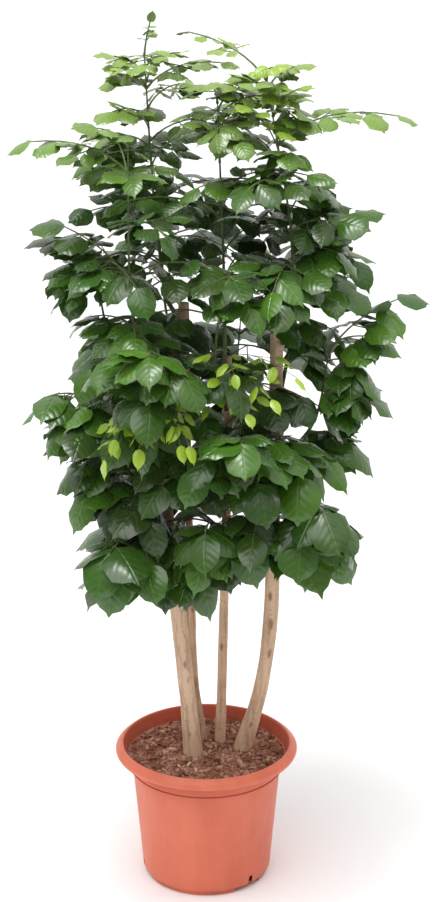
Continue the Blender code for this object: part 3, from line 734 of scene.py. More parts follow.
def skinned(name, routes, roundness):
    """One mesh of closed tubes. Each route is a list of points with their radii."""
    curve = bpy.data.curves.new(name, "CURVE")
    curve.dimensions = "3D"
    curve.bevel_depth = CURVE_UNIT
    curve.bevel_resolution = roundness
    curve.use_fill_caps = True
    for points, radii in routes:
        spline = curve.splines.new("POLY")
        spline.points.add(len(points) - 1)
        for dot, point, radius in zip(spline.points, points, radii):
            dot.co = (*point, 1.0)
            dot.radius = radius / CURVE_UNIT
    select_only(add_object(name, curve))
    bpy.ops.object.convert(target="MESH")
    thing = bpy.context.active_object
    edit(thing)
    bpy.ops.mesh.select_all(action="SELECT")
    bpy.ops.mesh.normals_make_consistent(inside=False)
    leave_edit()
    return thing


print("skin unit in metres:", CURVE_UNIT)

# %% [markdown]
# ## The woody stems
#
# Each stem is old wood that was cut back once. Its bark is thin and fibrous, with small
# knots where branches were, and the front left one is peeled on one face, with a ragged
# dark edge. The tube and its short collars are fused by a voxel remesh, as roots and
# branches fuse on the plant. Small moves of the vertices then give the ridges, knots and
# the peeled face, and an attribute remembers where they are, for the bark's colours.

# %% Model the stems
FINE_TRUNK_STEPS = 90
TRUNK_VOXEL = 0.0024
KNOTS = {
    "left_front": [(0.402, -78, 0.9), (0.372, -66, 0.8), (0.520, 160, 0.9), (0.66, -60, 1.0),
                   (0.76, 60, 1.0), (0.85, -130, 1.0)],
    "left_back": [(0.470, -60, 0.8), (0.56, 100, 1.0), (0.74, 20, 1.0), (0.90, -90, 1.0)],
    "middle": [(0.410, -110, 0.8), (0.545, 80, 0.8), (0.70, -40, 1.0), (0.86, 150, 1.0)],
    "right": [(0.275, -95, 0.7), (0.412, -72, 1.1), (0.468, -88, 1.2), (0.520, -105, 1.0),
              (0.560, 120, 1.0), (0.70, -90, 1.0), (0.88, 40, 1.0)],
}
KNOT_WIDTH = 0.0044
KNOT_LENGTH = 0.0105
STEM_SHIFT = 3.1
RIDGES_ROUND = 2.6
RIDGES_ALONG = 7.0
LUMPS_ROUND = 0.9
LUMPS_ALONG = 14.0
STEM_ROUNDNESS = 8
STEM_SMOOTHING = 0.5
STEM_SMOOTHINGS = 3
KNOT_RISE = 0.0013
KNOT_PIT = 0.0022
RIDGE_DEPTH = 0.0008
LUMP_DEPTH = 0.0010
PEEL_DEPTH = 0.0012
PEEL_EDGE_RISE = 0.0009
PEEL_TOP = 0.66
PEEL_TOP_FADE = 0.05
PEEL_CENTRE_DEG = -66
PEEL_TWIST_DEG = 100
PEEL_HALF_DEG = 30
PEEL_WAVERS_DEG = (26, 12)
PEEL_SOFT_DEG = 7.0
COLLAR_SHARES = (0.0, 0.45, 0.7, 0.85, 1.0)
COLLAR_WIDTHS = (1.45, 1.35, 1.12, 1.0, 0.96)
BARK_PALENESS = {"left_front": 0.0, "left_back": -0.55, "middle": 0.20, "right": 0.0}


def fine_trunk_route(name):
    """The solid stem's centre line and radii at many more places."""
    coarse_route, coarse_radii = trunk_tube(name)
    route = smooth_route(TRUNKS[name]["route"], FINE_TRUNK_STEPS)
    table = [(point.z, radius) for point, radius in zip(coarse_route, coarse_radii)]
    return route, [read_between(table, point.z)[0] for point in route]


def collar_route(shoot):
    centre, heading, end = shoot_start(shoot)
    points = [centre + heading * share * (end - centre).length for share in COLLAR_SHARES]
    return points, [COLLAR_RADIUS * factor for factor in COLLAR_WIDTHS]


def peeled(name, heights, angles_deg):
    """How bare of bark places on a stem are, from 0 to 1."""
    if name != "left_front":
        return np.zeros(len(heights))
    levels = np.linspace(heights.min(), heights.max(), 900)
    broad, fine = PEEL_WAVERS_DEG
    waver = [broad * noise.noise(Vector((0.4, 2.7, level * 26)))
             + fine * noise.noise(Vector((4, 7, level * 110))) for level in levels]
    half = PEEL_HALF_DEG + np.interp(heights, levels, waver)
    centre = PEEL_CENTRE_DEG - PEEL_TWIST_DEG * (heights - 0.2)
    off = np.abs((angles_deg - centre + 180) % 360 - 180)
    across = np.clip((half - off) / PEEL_SOFT_DEG, 0, 1)
    return across * np.clip((PEEL_TOP - heights) / PEEL_TOP_FADE, 0, 1)


def shape_bark(trunk, name):
    """Move a stem's skin in and out, and store peeled, scarred and ridged places."""
    route, _radii = fine_trunk_route(name)
    mesh = trunk.data
    places = np.array([vertex.co for vertex in mesh.vertices])
    normals = np.array([vertex.normal for vertex in mesh.vertices])
    heights = places[:, 2]
    levels = [point.z for point in route]
    side_x = places[:, 0] - np.interp(heights, levels, [point.x for point in route])
    side_y = places[:, 1] - np.interp(heights, levels, [point.y for point in route])
    angles = np.arctan2(side_y, side_x)
    shift = len(name) * STEM_SHIFT
    rounds = [Vector((math.cos(angle), math.sin(angle), 0)) for angle in angles]
    ridge = np.array([
        noise.fractal(place * RIDGES_ROUND + Vector((shift, 0, height * RIDGES_ALONG)), 0.8, 2.0, 3)
        for place, height in zip(rounds, heights)])
    lump = np.array([
        noise.noise(place * LUMPS_ROUND + Vector((shift, 0, height * LUMPS_ALONG)))
        for place, height in zip(rounds, heights)])
    peel = peeled(name, heights, np.degrees(angles))
    edge = 4 * peel * (1 - peel)
    scar = np.zeros(len(heights))
    for knot_height, knot_deg, size in KNOTS[name]:
        off = (np.degrees(angles) - knot_deg + 180) % 360 - 180
        across = np.radians(off) * np.hypot(side_x, side_y) / (KNOT_WIDTH * size)
        along = (heights - knot_height) / (KNOT_LENGTH * size)
        scar = np.maximum(scar, np.exp(-(across ** 2 + along ** 2)))
    move = RIDGE_DEPTH * ridge * (1 - 0.6 * peel) + LUMP_DEPTH * lump - PEEL_DEPTH * peel
    move += PEEL_EDGE_RISE * edge
    move += KNOT_RISE * scar - KNOT_PIT * scar ** 4
    mesh.vertices.foreach_set("co", (places + normals * move[:, None]).ravel())
    marks = mesh.attributes.new("bark", "FLOAT_COLOR", "POINT")
    tone = 0.5 + 0.5 * ridge + BARK_PALENESS[name]
    marks.data.foreach_set("color", np.column_stack([peel, scar, edge, tone]).ravel())
    mesh.update()


def make_fine_trunk(name):
    routes = [fine_trunk_route(name)]
    routes += [collar_route(shoot) for shoot, row in SHOOTS.items() if row[0] == name]
    trunk = skinned("woody_stem_" + name, routes, STEM_ROUNDNESS)
    apply_modifier(trunk, "REMESH", mode="VOXEL", voxel_size=TRUNK_VOXEL)
    apply_modifier(trunk, "SMOOTH", factor=STEM_SMOOTHING, iterations=STEM_SMOOTHINGS)
    shape_bark(trunk, name)
    select_only(trunk)
    bpy.ops.object.shade_smooth()
    return trunk


trunks = {name: make_fine_trunk(name) for name in TRUNKS}
print("stems:", {name: triangles(trunk) for name, trunk in trunks.items()})

# %% [markdown]
# ### Bark
#
# The bark is pale tan with grey-brown streaks that run along the stem, darker flecks
# across it, and brown scars. Streaks come from noise that is squeezed across the stem and
# stretched along it. The peeled face is lighter and yellower, and its edge is dark.

# %% Mix the bark
BARK_LIGHT = (0.740, 0.525, 0.365)
BARK_MIDDLE = (0.540, 0.355, 0.232)
BARK_DARK = (0.260, 0.155, 0.105)
BARK_FLECK = (0.330, 0.185, 0.115)
PEELED_WOOD = (0.780, 0.565, 0.395)
SCAR_BROWN = (0.250, 0.115, 0.062)
BARK_EDGE = (0.260, 0.120, 0.055)


def bark():
    graph = material_graph("bark", Specular_IOR_Level=0.3)
    place = graph.place()
    peel, scar, edge, ridge = graph.marks("bark")
    long_place = graph.stretched(place, (170.0, 170.0, 9.0))
    streak = graph.noise(long_place, 1.0, 5.0, 0.65)
    fibre = graph.noise(graph.stretched(place, (620.0, 620.0, 38.0)), 1.0, 3.0, 0.6)
    patch = graph.noise(place, 16.0, 3.0, 0.6)
    fleck = graph.noise(graph.stretched(place, (130.0, 130.0, 420.0)), 1.0, 2.0, 0.6)
    tone = streak * 0.5 + patch * 0.35 + ridge * 0.15
    colour = graph.ramp(tone, [(0.30, BARK_DARK), (0.41, BARK_MIDDLE), (0.55, BARK_LIGHT)])
    colour = graph.colour_mix(fleck.between(0.58, 0.68) * 0.55, colour, BARK_FLECK)
    bare = graph.colour_mix(streak.between(0.42, 0.66), PEELED_WOOD, BARK_LIGHT)
    bare = graph.colour_mix(fibre.between(0.60, 0.75) * 0.5, bare, BARK_MIDDLE)
    colour = graph.colour_mix(peel, colour, bare)
    colour = graph.colour_mix((edge * streak.between(0.35, 0.60)).limited() * 0.55, colour, BARK_EDGE)
    scarred = scar.between(0.25, 0.80) * streak.between(0.25, 0.55)
    colour = graph.colour_mix(scarred * 0.80, colour, SCAR_BROWN)
    height = streak * 0.6 + fibre * 0.35 + fleck * 0.25
    normal = graph.bump(height, 0.0012, 0.75)
    return graph.finish(Base_Color=colour, Roughness=0.72 + fibre * 0.2, Normal=normal)


bark_material = bark()
for trunk_name, trunk in trunks.items():
    dress(trunk, bark_material, "bark", "trunk_" + trunk_name)

# %% [markdown]
# ## The soil
#
# Palms and trees in pots stand in a coarse mix of bark pieces and coir. Its surface is
# rough at every size: low mounds, lumps of a centimetre, and crumbs. The filling is spun
# like the pot, with many rings on its top, which are then moved by noise. The loose pieces
# that lie on it come in the next cell.

# %% Model the filling
SOIL_RADIUS = 0.1396
SOIL_SECTION = [(0.0, 0.0088), (0.1040, 0.0088), (0.1262, 0.2030), (0.1300, 0.2186), (0.1366, 0.2218),
                (SOIL_RADIUS, SOIL_HEIGHT)]
SOIL_SIDES = 120
SOIL_RINGS = 50
SOIL_CROWN = 0.004
MOUND = 0.0045
MOUND_SCALE = 22
CRUMB = 0.0042
CRUMB_SCALE = 95
SOIL_SINK = 0.0015
LEVEL_FROM = 0.94
LEVEL_OVER = 0.06
LEAST_ROUGHNESS = 0.25
HOLE_ROUNDNESS = 4
SOIL_SMOOTH_DEG = 60
HOLE_DEPTH_ABOVE = 0.03
HOLE_DEPTH_BELOW = 0.002
HOLE_GAP = 0.0004


def soil_height(x, y):
    """The soil's surface at a place: a slight crown, mounds, lumps and crumbs."""
    reach = math.hypot(x, y) / SOIL_RADIUS
    crown = SOIL_CROWN * (1 - reach)
    mound = MOUND * noise.noise(Vector((x * MOUND_SCALE, y * MOUND_SCALE, 3.3)))
    lump = CRUMB * noise.turbulence(Vector((x * CRUMB_SCALE, y * CRUMB_SCALE, 8.1)), 3, False)
    fade = 1 - max(0.0, reach - LEVEL_FROM) / LEVEL_OVER
    return SOIL_HEIGHT + (crown + mound + lump - SOIL_SINK) * max(LEAST_ROUGHNESS, fade)


def make_soil():
    rings = [(SOIL_RADIUS * (1 - ring / SOIL_RINGS), SOIL_HEIGHT) for ring in range(1, SOIL_RINGS + 1)]
    soil = trace_section("bark_soil", SOIL_SECTION + rings)
    spin_traced(SOIL_SIDES, math.tau)
    for vertex in soil.data.vertices:
        if vertex.co.z > SOIL_HEIGHT - 0.001:
            vertex.co.z = soil_height(vertex.co.x, vertex.co.y)
    smooth_by_angle(soil, SOIL_SMOOTH_DEG)
    return soil


soil = make_soil()
holes = []
for trunk_name in TRUNKS:
    hole_route, hole_radii = fine_trunk_route(trunk_name)
    hole_points = [point for point in hole_route if point.z < SOIL_HEIGHT + HOLE_DEPTH_ABOVE]
    hole_points[0] = hole_points[0] - Vector((0, 0, HOLE_DEPTH_BELOW))
    widths = [radius + HOLE_GAP for radius in hole_radii[:len(hole_points)]]
    holes.append(skinned("hole", [(hole_points, widths)], HOLE_ROUNDNESS))
boolean(soil, holes, "DIFFERENCE")
print("soil triangles:", triangles(soil))

# %% [markdown]
# ### Bark chips and coir
#
# Three chips are modelled once each, from a cube that is bevelled and knocked out of
# shape. Each copy has its own mesh, and an attribute gives it its own tone.

# %% Model and copy a chip
CHIPS = [("chip_long", (1.5, 0.75, 0.42), 3), ("chip_square", (1.1, 0.95, 0.55), 5),
         ("chip_thin", (1.3, 0.6, 0.25), 8)]
CHIP_BEVEL = 0.22
CHIP_KNOCK = 0.13
CHIP_LEAN = 0.45


def make_chip(name, size, seed):
    bpy.ops.object.select_all(action="DESELECT")
    bpy.ops.mesh.primitive_cube_add(size=1.0)
    chip = bpy.context.active_object
    chip.name = name
    edit(chip)
    bpy.ops.mesh.select_all(action="SELECT")
    bpy.ops.mesh.bevel(offset=CHIP_BEVEL, segments=1)
    bpy.ops.transform.resize(value=size)
    leave_edit()
    luck = random.Random(seed)
    for vertex in chip.data.vertices:
        vertex.co += Vector([luck.uniform(-CHIP_KNOCK, CHIP_KNOCK) * side for side in size])
    return chip


def copy_of(model, matrix, attribute, colour):
    """A copy with its own mesh, set at its place, with one colour in an attribute."""
    mesh = model.data.copy()
    mesh.transform(matrix)
    marks = mesh.attributes.new(attribute, "FLOAT_COLOR", "POINT")
    marks.data.foreach_set("color", list(colour) * len(mesh.vertices))
    return add_object("copy", mesh)


def random_spot(luck, radius):
    """A place on a disc, no part of it likelier than another, and its angle."""
    reach = radius * math.sqrt(luck.random())
    angle = luck.uniform(0, math.tau)
    return reach * math.cos(angle), reach * math.sin(angle), angle


def turned_at(place, size, luck):
    spin = Matrix.Rotation(luck.uniform(0, math.tau), 4, "Z")
    nod = Matrix.Rotation(luck.gauss(0, CHIP_LEAN), 4, "X")
    lean = Matrix.Rotation(luck.gauss(0, CHIP_LEAN), 4, "Y")
    return Matrix.Translation(place) @ spin @ (nod @ lean) @ Matrix.Scale(size, 4)


print("kinds of chips:", len(CHIPS))

# %% [markdown]
# ### The loose cover
#
# Over a thousand chips are scattered at seeded places with turns and sizes, clear of the
# stems. A few pale ones lie near the stems, as in the photograph, and thin curved strands
# of coir lie between them.

# %% Scatter the loose pieces
CHIP_COUNT = 1300
CHIP_SIZES = (0.0017, 0.0070)
CHIP_EDGE_ROOM = 0.004
BIG_CHIP_SHARE = 0.07
BIG_CHIP_SIZE = 1.7
CHIP_ROOM = 0.4
CHIP_RISE = 0.12
PALE_CHIP_RISE = 0.3
PALE_CHIPS = [(0.000, -0.014, 0.0052), (0.006, -0.004, 0.0046), (-0.030, -0.047, 0.0068),
              (-0.047, -0.060, 0.0058), (0.052, -0.058, 0.0040), (-0.085, 0.010, 0.0040),
              (-0.018, -0.070, 0.0070)]
STRAND_COUNT = 150
STRAND_LENGTHS = (0.008, 0.022)
STRAND_CURL = 1.4
STRAND_POINTS = 5
STRAND_RADIUS = 0.00028
STRAND_LIFT = 0.0016
STRAND_WAVE = 0.0012
STRAND_EDGE_ROOM = 0.014


def scatter_chips():
    chips = [make_chip(*row) for row in CHIPS]
    luck = random.Random(SEED + 50)
    roots = [(point_at_height(fine_trunk_route(name)[0], SOIL_HEIGHT), shape["radii"][0])
             for name, shape in TRUNKS.items()]
    copies = []
    while len(copies) < CHIP_COUNT:
        x, y, _angle = random_spot(luck, SOIL_RADIUS - CHIP_EDGE_ROOM)
        big = luck.random() < BIG_CHIP_SHARE
        size = luck.uniform(*CHIP_SIZES) * (BIG_CHIP_SIZE if big else 1.0)
        if any(math.hypot(x - root.x, y - root.y) < radius + size * CHIP_ROOM for root, radius in roots):
            continue
        place = Vector((x, y, soil_height(x, y) + size * CHIP_RISE))
        tone = (luck.random(), luck.random(), 0.0, 1.0)
        copies.append(copy_of(luck.choice(chips), turned_at(place, size, luck), "chip", tone))
    for x, y, size in PALE_CHIPS:
        place = Vector((x, y, soil_height(x, y) + size * PALE_CHIP_RISE))
        copies.append(copy_of(chips[0], turned_at(place, size, luck), "chip", (0.5, 0.5, 1.0, 1.0)))
    for chip in chips:
        bpy.data.objects.remove(chip)
    return join(copies, "soil_chips")


def scatter_strands():
    luck = random.Random(SEED + 60)
    routes = []
    for _strand in range(STRAND_COUNT):
        x, y, angle = random_spot(luck, SOIL_RADIUS - STRAND_EDGE_ROOM)
        heading = luck.uniform(0, math.tau)
        length = luck.uniform(*STRAND_LENGTHS)
        curl = luck.uniform(-STRAND_CURL, STRAND_CURL)
        spans = STRAND_POINTS - 1
        points = []
        for step in range(STRAND_POINTS):
            lift = STRAND_LIFT + STRAND_WAVE * math.sin(step * 1.7 + angle)
            points.append(Vector((x, y, soil_height(x, y) + lift)))
            heading += curl / spans
            x += length / spans * math.cos(heading)
            y += length / spans * math.sin(heading)
        routes.append((points, [STRAND_RADIUS] * STRAND_POINTS))
    return skinned("coir_strands", routes, 0)


soil_chips = scatter_chips()
coir = scatter_strands()
print("chips:", triangles(soil_chips), "strands:", triangles(coir))

# %% [markdown]
# ### Colours of the soil
#
# Wet bark is a dark red brown, its dry upper edges are paler and greyer, and coir is
# nearly orange. The chips read their tone from the attribute of each copy, and the
# ground between them from noise at two sizes.

# %% Mix the soil
SOIL_DARK = (0.070, 0.024, 0.014)
SOIL_RED = (0.285, 0.110, 0.066)
SOIL_PALE = (0.600, 0.360, 0.275)
CHIP_PALE = (0.760, 0.560, 0.360)
COIR_BROWN = (0.330, 0.150, 0.070)


def soil_ground():
    graph = material_graph("soil_ground", Roughness=0.95, Specular_IOR_Level=0.2)
    place = graph.place()
    lumps = graph.noise(place, 120.0, 5.0, 0.7)
    crumbs = graph.noise(place, 420.0, 4.0, 0.7)
    patch = graph.noise(place, 26.0, 2.0)
    tone = lumps * 0.55 + crumbs * 0.45 + (patch - 0.5) * 0.25
    colour = graph.ramp(tone, [(0.35, SOIL_DARK), (0.50, SOIL_RED), (0.64, SOIL_PALE)])
    return graph.finish(Base_Color=colour, Normal=graph.bump(tone, 0.004, 0.9))


def chip_bark():
    graph = material_graph("chip_bark", Roughness=0.9, Specular_IOR_Level=0.25)
    place = graph.place()
    first, second, pale, _whole = graph.marks("chip")
    grain = graph.noise(place, 500.0, 4.0, 0.7)
    patch = graph.noise(place, 26.0, 2.0)
    tone = first * 0.5 + grain * 0.55 - 0.06 + (patch - 0.5) * 0.9
    colour = graph.ramp(tone, [(0.12, SOIL_DARK), (0.38, SOIL_RED), (0.74, SOIL_PALE)])
    colour = graph.colour_mix(second.between(0.8, 1.0) * 0.6, colour, COIR_BROWN)
    colour = graph.colour_mix(pale * grain.between(0.25, 0.6), colour, CHIP_PALE)
    return graph.finish(Base_Color=colour, Normal=graph.bump(grain, 0.0012, 0.8))


def coir_fibre():
    graph = material_graph("coir_fibre", Roughness=0.85)
    tone = graph.noise(graph.place(), 60.0, 2.0)
    return graph.finish(Base_Color=graph.ramp(tone, [(0.35, SOIL_RED), (0.65, COIR_BROWN)]))


dress(soil, soil_ground(), "bark_soil", "soil")
dress(soil_chips, chip_bark(), "bark_soil")
dress(coir, coir_fibre(), "bark_soil")

# %% [markdown]
# ## How the crown grows
#
# Each green shoot carries compound leaves: a thin stalk with leaflets along it. The rules
# that the solid model follows are repeated here with the same seeds, so every fine
# leaflet lies where its solid is. Each stalk and leaflet is tried in a few turns until it
# is clear of all that has grown before it.
#
# The crown's outline is a table: a height, and how far the crown reaches there to the
# left, right, front and back. A long leaf has its shoot, its place along it and where its
# tip goes. Turns of a stalk are degrees and a rise; turns of a leaflet are its pitch, yaw
# and roll in degrees. A habit says how many sizes and turns are tried, how many crossed
# parts of its own shoot are good enough to stop at and how many are allowed at most, and
# how freely a leaflet hangs and leans.

# %% Values of the crown
SHOOT_SIDES = 5
SHOOT_STEPS = 5
SHOOT_STRAIGHT = 0.016
SHOOT_RADII = (0.0046, 0.0016)
FINE_STEPS = 48
FIRST_PAIR_AT = 0.26
LAST_PAIR_AT = 0.90
CROWN = [
    (0.50, 0.13, 0.12, 0.14, 0.12),
    (0.60, 0.20, 0.20, 0.23, 0.20),
    (0.72, 0.25, 0.26, 0.29, 0.27),
    (0.90, 0.27, 0.30, 0.31, 0.30),
    (1.06, 0.27, 0.32, 0.30, 0.31),
    (1.20, 0.26, 0.28, 0.26, 0.28),
    (1.32, 0.23, 0.22, 0.21, 0.23),
    (1.42, 0.17, 0.16, 0.14, 0.16),
    (1.52, 0.11, 0.08, 0.07, 0.08),
]
LEADER = "left_back_top"
LONG_LEAVES = [
    ("left_front_top", 0.92, (-0.318, -0.060, 1.330)),
    ("left_front_top", 0.55, (-0.255, -0.130, 1.200)),
    ("left_front_mid", 0.80, (-0.283, -0.030, 1.070)),
    ("left_front_side", 0.85, (-0.262, -0.090, 0.930)),
    ("left_front_side", 0.45, (-0.280, -0.060, 0.785)),
    ("left_back_top", 0.93, (-0.175, 0.030, 1.455)),
    (LEADER, 1.00, (-0.083, 0.056, 1.516)),
    ("middle_top", 0.97, (0.075, -0.080, 1.425)),
    ("right_top", 0.82, (0.350, 0.000, 1.358)),
    ("right_top", 0.97, (0.168, -0.040, 1.452)),
    ("right_top", 0.45, (0.285, -0.060, 1.215)),
    ("right_side", 0.95, (0.368, -0.030, 1.070)),
    ("right_side", 0.60, (0.322, -0.040, 0.925)),
    ("right_low", 0.70, (0.245, -0.150, 0.690)),
]
UP = Vector((0, 0, 1))
PAIR_SPREAD_DEG = 20
SOLID_OUTWARD_PULL = 0.55
END_RAISE = 0.25
LIFT_AT_BASE = -0.30
LIFT_GAINED = 0.70
LIFT_FROM = 0.60
LIFT_OVER = 0.85
LIFT_CHANCE = 0.12
REACH_CHANCE = (0.88, 1.04)
LEAST_REACH_SHARE = 0.35
REACH_TRIES = 3
STALK_RADII = (0.0017, 0.0011)
STALK_STEPS = 8
STALK_RISE = 0.55
STALK_FOLLOW = 0.25
STALK_BEND_AT = 0.48
STALK_SIDES = 3
LEAST_STALK = 1.6
STALK_TURNS = [(0, 0), (9, 0), (-9, 0), (0, 0.12), (0, -0.12), (18, 0.05), (-18, 0.05),
               (27, 0.1), (-27, 0.1), (12, -0.2), (-12, -0.2), (36, 0), (-36, 0)]
NODE_SHARES = (0.44, 0.80)
NODE_ANGLES_DEG = (58, 62)
NODE_STALK_SHARES = (0.26, 0.0)
BARE_STALK_SHARE = 0.15
LONGEST_LEAF = 3.8
SHORTEST_LEAF = 2.0
LEAFLET_LENGTHS = [(0.50, 0.084), (0.70, 0.080), (0.90, 0.068), (1.20, 0.056), (1.40, 0.042), (1.52, 0.028)]
LEAFLET_LENGTH_CHANCE = (0.88, 1.12)
LEAFLET_WIDTH_SHARE = 0.60
LEAFLET_WIDTH_CHANCE = (0.92, 1.08)
BLADE_DROOPS = (0.10, 0.34)
BLADE_FOLDS = (0.10, 0.30)
BLADE_EDGE = ((-1.0, 0.30), (-0.72, 0.66), (0, 1), (0.72, 0.66), (1.0, 0.30))
BLADE_HEART = (0, 0.42)
SAG_SHORTENING = 0.25
LEAFLET_STALK = 0.005
LEAFLET_SIZES = (1.0, 0.88, 0.76)
LEAFLET_TURNS = [(0, 0, 0), (14, 0, 0), (-14, 0, 0), (0, 14, 0), (0, -14, 0), (0, 0, 22), (0, 0, -22),
                 (28, 0, 0), (-28, 0, 0), (20, 16, 15), (20, -16, -15), (-20, 16, -15), (-20, -16, 15),
                 (0, 28, 10), (0, -28, -10), (42, 0, 0), (-45, 0, 0)]
SOLID_HABIT = {"sizes": 3, "turns": 17, "good": 0, "joined": 99, "hang": 1.0,
               "droop": (-0.15, 0.2), "side": (-0.3, 0.3), "front": (-0.4, 0.2)}
MORE_HABIT = {"sizes": 2, "turns": 9, "good": 1, "joined": 2, "hang": 0.65,
              "droop": (-0.35, 0.45), "side": (-0.6, 0.6), "front": (-0.7, 0.3)}
DROOP = [(0.50, 0.95), (0.70, 0.75), (0.95, 0.45), (1.20, 0.28), (1.45, 0.08)]
HALF_THICKNESS = 0.0008
CLEARANCE = 0.0008
MOST_OBSTACLES = 6000
print("long leaves that stand out:", len(LONG_LEAVES))

# %% [markdown]
# ### What is in the way
#
# Every grown thing is kept as a small tree of faces together with its box. A new leaflet
# is first compared with all the boxes at once, and only with the few that are close is
# the exact crossing test made.

# %% Keep and test obstacles
def shoot_route(name, steps=SHOOT_STEPS):
    _centre, heading, end = shoot_start(name)
    start = end + heading * GAP
    straight_end = start + heading * SHOOT_STRAIGHT
    return [start] + smooth_route([straight_end] + [Vector(p) for p in SHOOTS[name][2]], steps - 1)


class Obstacles:
    """Everything grown so far, with the node and leaf that it belongs to."""

    def __init__(self):
        self.entries = []
        self.lows = np.zeros((MOST_OBSTACLES, 3))
        self.highs = np.zeros((MOST_OBSTACLES, 3))

    def add(self, node, vertices, faces, leaf=None):
        places = np.array(vertices)
        self.lows[len(self.entries)] = places.min(axis=0)
        self.highs[len(self.entries)] = places.max(axis=0)
        self.entries.append((node, leaf, BVHTree.FromPolygons(vertices, faces)))

    def crossings(self, node, vertices, faces, leaf):
        """How many things are crossed: those that must stay clear, then leaves of the same shoot."""
        places = np.array(vertices)
        count = len(self.entries)
        apart = (places.min(axis=0) > self.highs[:count]) | (places.max(axis=0) < self.lows[:count])
        tree = BVHTree.FromPolygons(vertices, faces)
        forbidden, joined = 0, 0
        for index in np.flatnonzero(~apart.any(axis=1)):
            entry_node, entry_leaf, entry_tree = self.entries[index]
            if tree.overlap(entry_tree):
                if entry_node == node and entry_leaf != leaf:
                    joined += 1
                else:
                    forbidden += 1
        return forbidden, joined


print("fine steps of a shoot:", FINE_STEPS)

# %% [markdown]
# ### Where the leaves go
#
# Leaves stand in crossed pairs along a shoot. Each heads outwards and aims its tip at the
# crown's surface, up when it is high on the plant and down when it is low.

# %% Plan the leaves
def leaflet_length(height):
    return read_between(LEAFLET_LENGTHS, height)[0]


def crown_reach(direction, height):
    """How far the crown reaches from the plant's middle, in a level direction."""
    left, right, front, back = read_between(CROWN, height)
    across = right if direction.x > 0 else left
    deep = back if direction.y > 0 else front
    return 1.0 / math.hypot(direction.x / across, direction.y / deep)


def outward_tip(start, angle, pull, luck):
    """The tip of a leaf that leaves at an angle and is pulled away from the plant's middle."""
    out = Vector((math.cos(angle), math.sin(angle), 0))
    outward = Vector((start.x, start.y, 0)).normalized()
    return tip_for(start, (out + outward * pull).normalized(), luck)


def named_plan(name, share, tip, young=0.0, size=1.0):
    """The plan of a leaf that is listed one by one, at a share of its shoot's length."""
    route = shoot_route(name, FINE_STEPS)
    at = int(round(share * FINE_STEPS))
    return name, route[at], directions_along(route)[at], Vector(tip), young, size


def leaf_plans():
    """Each leaf's shoot, start, heading there, the place its tip aims at, youth and size."""
    plans = []
    for name, (_trunk, _height, _points, pairs) in SHOOTS.items():
        route = shoot_route(name, FINE_STEPS)
        headings = directions_along(route)
        luck = random.Random(SEED * 31 + len(plans))
        spin = luck.uniform(0, 180)
        for pair in range(pairs):
            at = int(FINE_STEPS * (FIRST_PAIR_AT + (LAST_PAIR_AT - FIRST_PAIR_AT) * pair / (pairs - 1)))
            for side in range(2):
                spread = luck.uniform(-PAIR_SPREAD_DEG, PAIR_SPREAD_DEG)
                angle = math.radians(spin + 90 * pair + 180 * side + spread)
                tip = outward_tip(route[at], angle, SOLID_OUTWARD_PULL, luck)
                plans.append((name, route[at], headings[at], tip, 0.0, 1.0))
        if name != LEADER:
            out = Vector((headings[-1].x, headings[-1].y, 0)) + Vector((route[-1].x, route[-1].y, 0))
            tip = tip_for(route[-1], out.normalized(), luck, END_RAISE)
            plans.append((name, route[-1], headings[-1], tip, 0.0, 1.0))
    return plans + [named_plan(*row) for row in LONG_LEAVES]


def tip_for(start, out, luck, raised=0.0):
    """Where a leaf's tip goes: out to the crown's surface, up when high and down when low."""
    lift = LIFT_AT_BASE + LIFT_GAINED * (start.z - LIFT_FROM) / LIFT_OVER
    lift = lift + luck.uniform(-LIFT_CHANCE, LIFT_CHANCE) + raised
    size = leaflet_length(start.z)
    reach = LONGEST_LEAF * size
    for _again in range(REACH_TRIES):
        tip = start + out * reach
        level = Vector((tip.x, tip.y, 0))
        limit = crown_reach(level.normalized(), start.z + lift * reach) * luck.uniform(*REACH_CHANCE)
        if level.length > limit:
            reach *= max(LEAST_REACH_SHARE, 1 - (level.length - limit) / reach)
    reach = max(reach, SHORTEST_LEAF * size)
    return start + out * reach + Vector((0, 0, lift * reach))


def stalk_route(start, heading, tip):
    """A leaf's main stalk leaves its shoot upwards and bends over to its tip."""
    span = tip - start
    first = (span.normalized() + Vector((0, 0, STALK_RISE)) + heading * STALK_FOLLOW).normalized()
    bend = start + first * span.length * STALK_BEND_AT
    route = []
    for step in range(STALK_STEPS + 1):
        t = step / STALK_STEPS
        route.append(start * (1 - t) ** 2 + bend * (2 * t * (1 - t)) + tip * t * t)
    return route


def stalk_point(route, share):
    """The place and heading at a share of a stalk's length."""
    place = share * (len(route) - 1)
    span = min(int(place), len(route) - 2)
    return route[span].lerp(route[span + 1], place - span), (route[span + 1] - route[span]).normalized()


def stalk_tube(route, bare_share=0.0):
    """A thin tube with some room round a stalk, from past its bare start to its end."""
    points = [stalk_point(route, share)[0] for share in (0.0, *NODE_SHARES, 1.0)]
    points[0] = points[0].lerp(points[1], bare_share)
    return tube(points, [STALK_RADII[0] + CLEARANCE] * len(points), STALK_SIDES, UP)


def plan_stalk(node, number, start, heading, tip, obstacles):
    """Turn a leaf's stalk a little until it is clear of what grew before it."""
    size = leaflet_length(tip.z)
    best = None
    for turn_deg, rise in STALK_TURNS:
        span = Matrix.Rotation(math.radians(turn_deg), 3, "Z") @ (tip - start)
        span.z += rise * span.length
        end = start + span * (1 - size / max(span.length, size * LEAST_STALK))
        route = stalk_route(start, heading, end)
        crossed = obstacles.crossings(node, *stalk_tube(route, BARE_STALK_SHARE), number)
        if best is None or crossed < best[0]:
            best = (crossed, route)
        if sum(crossed) == 0:
            break
    crossed, route = best
    if crossed[0]:
        return None
    obstacles.add(node, *stalk_tube(route), number)
    return route


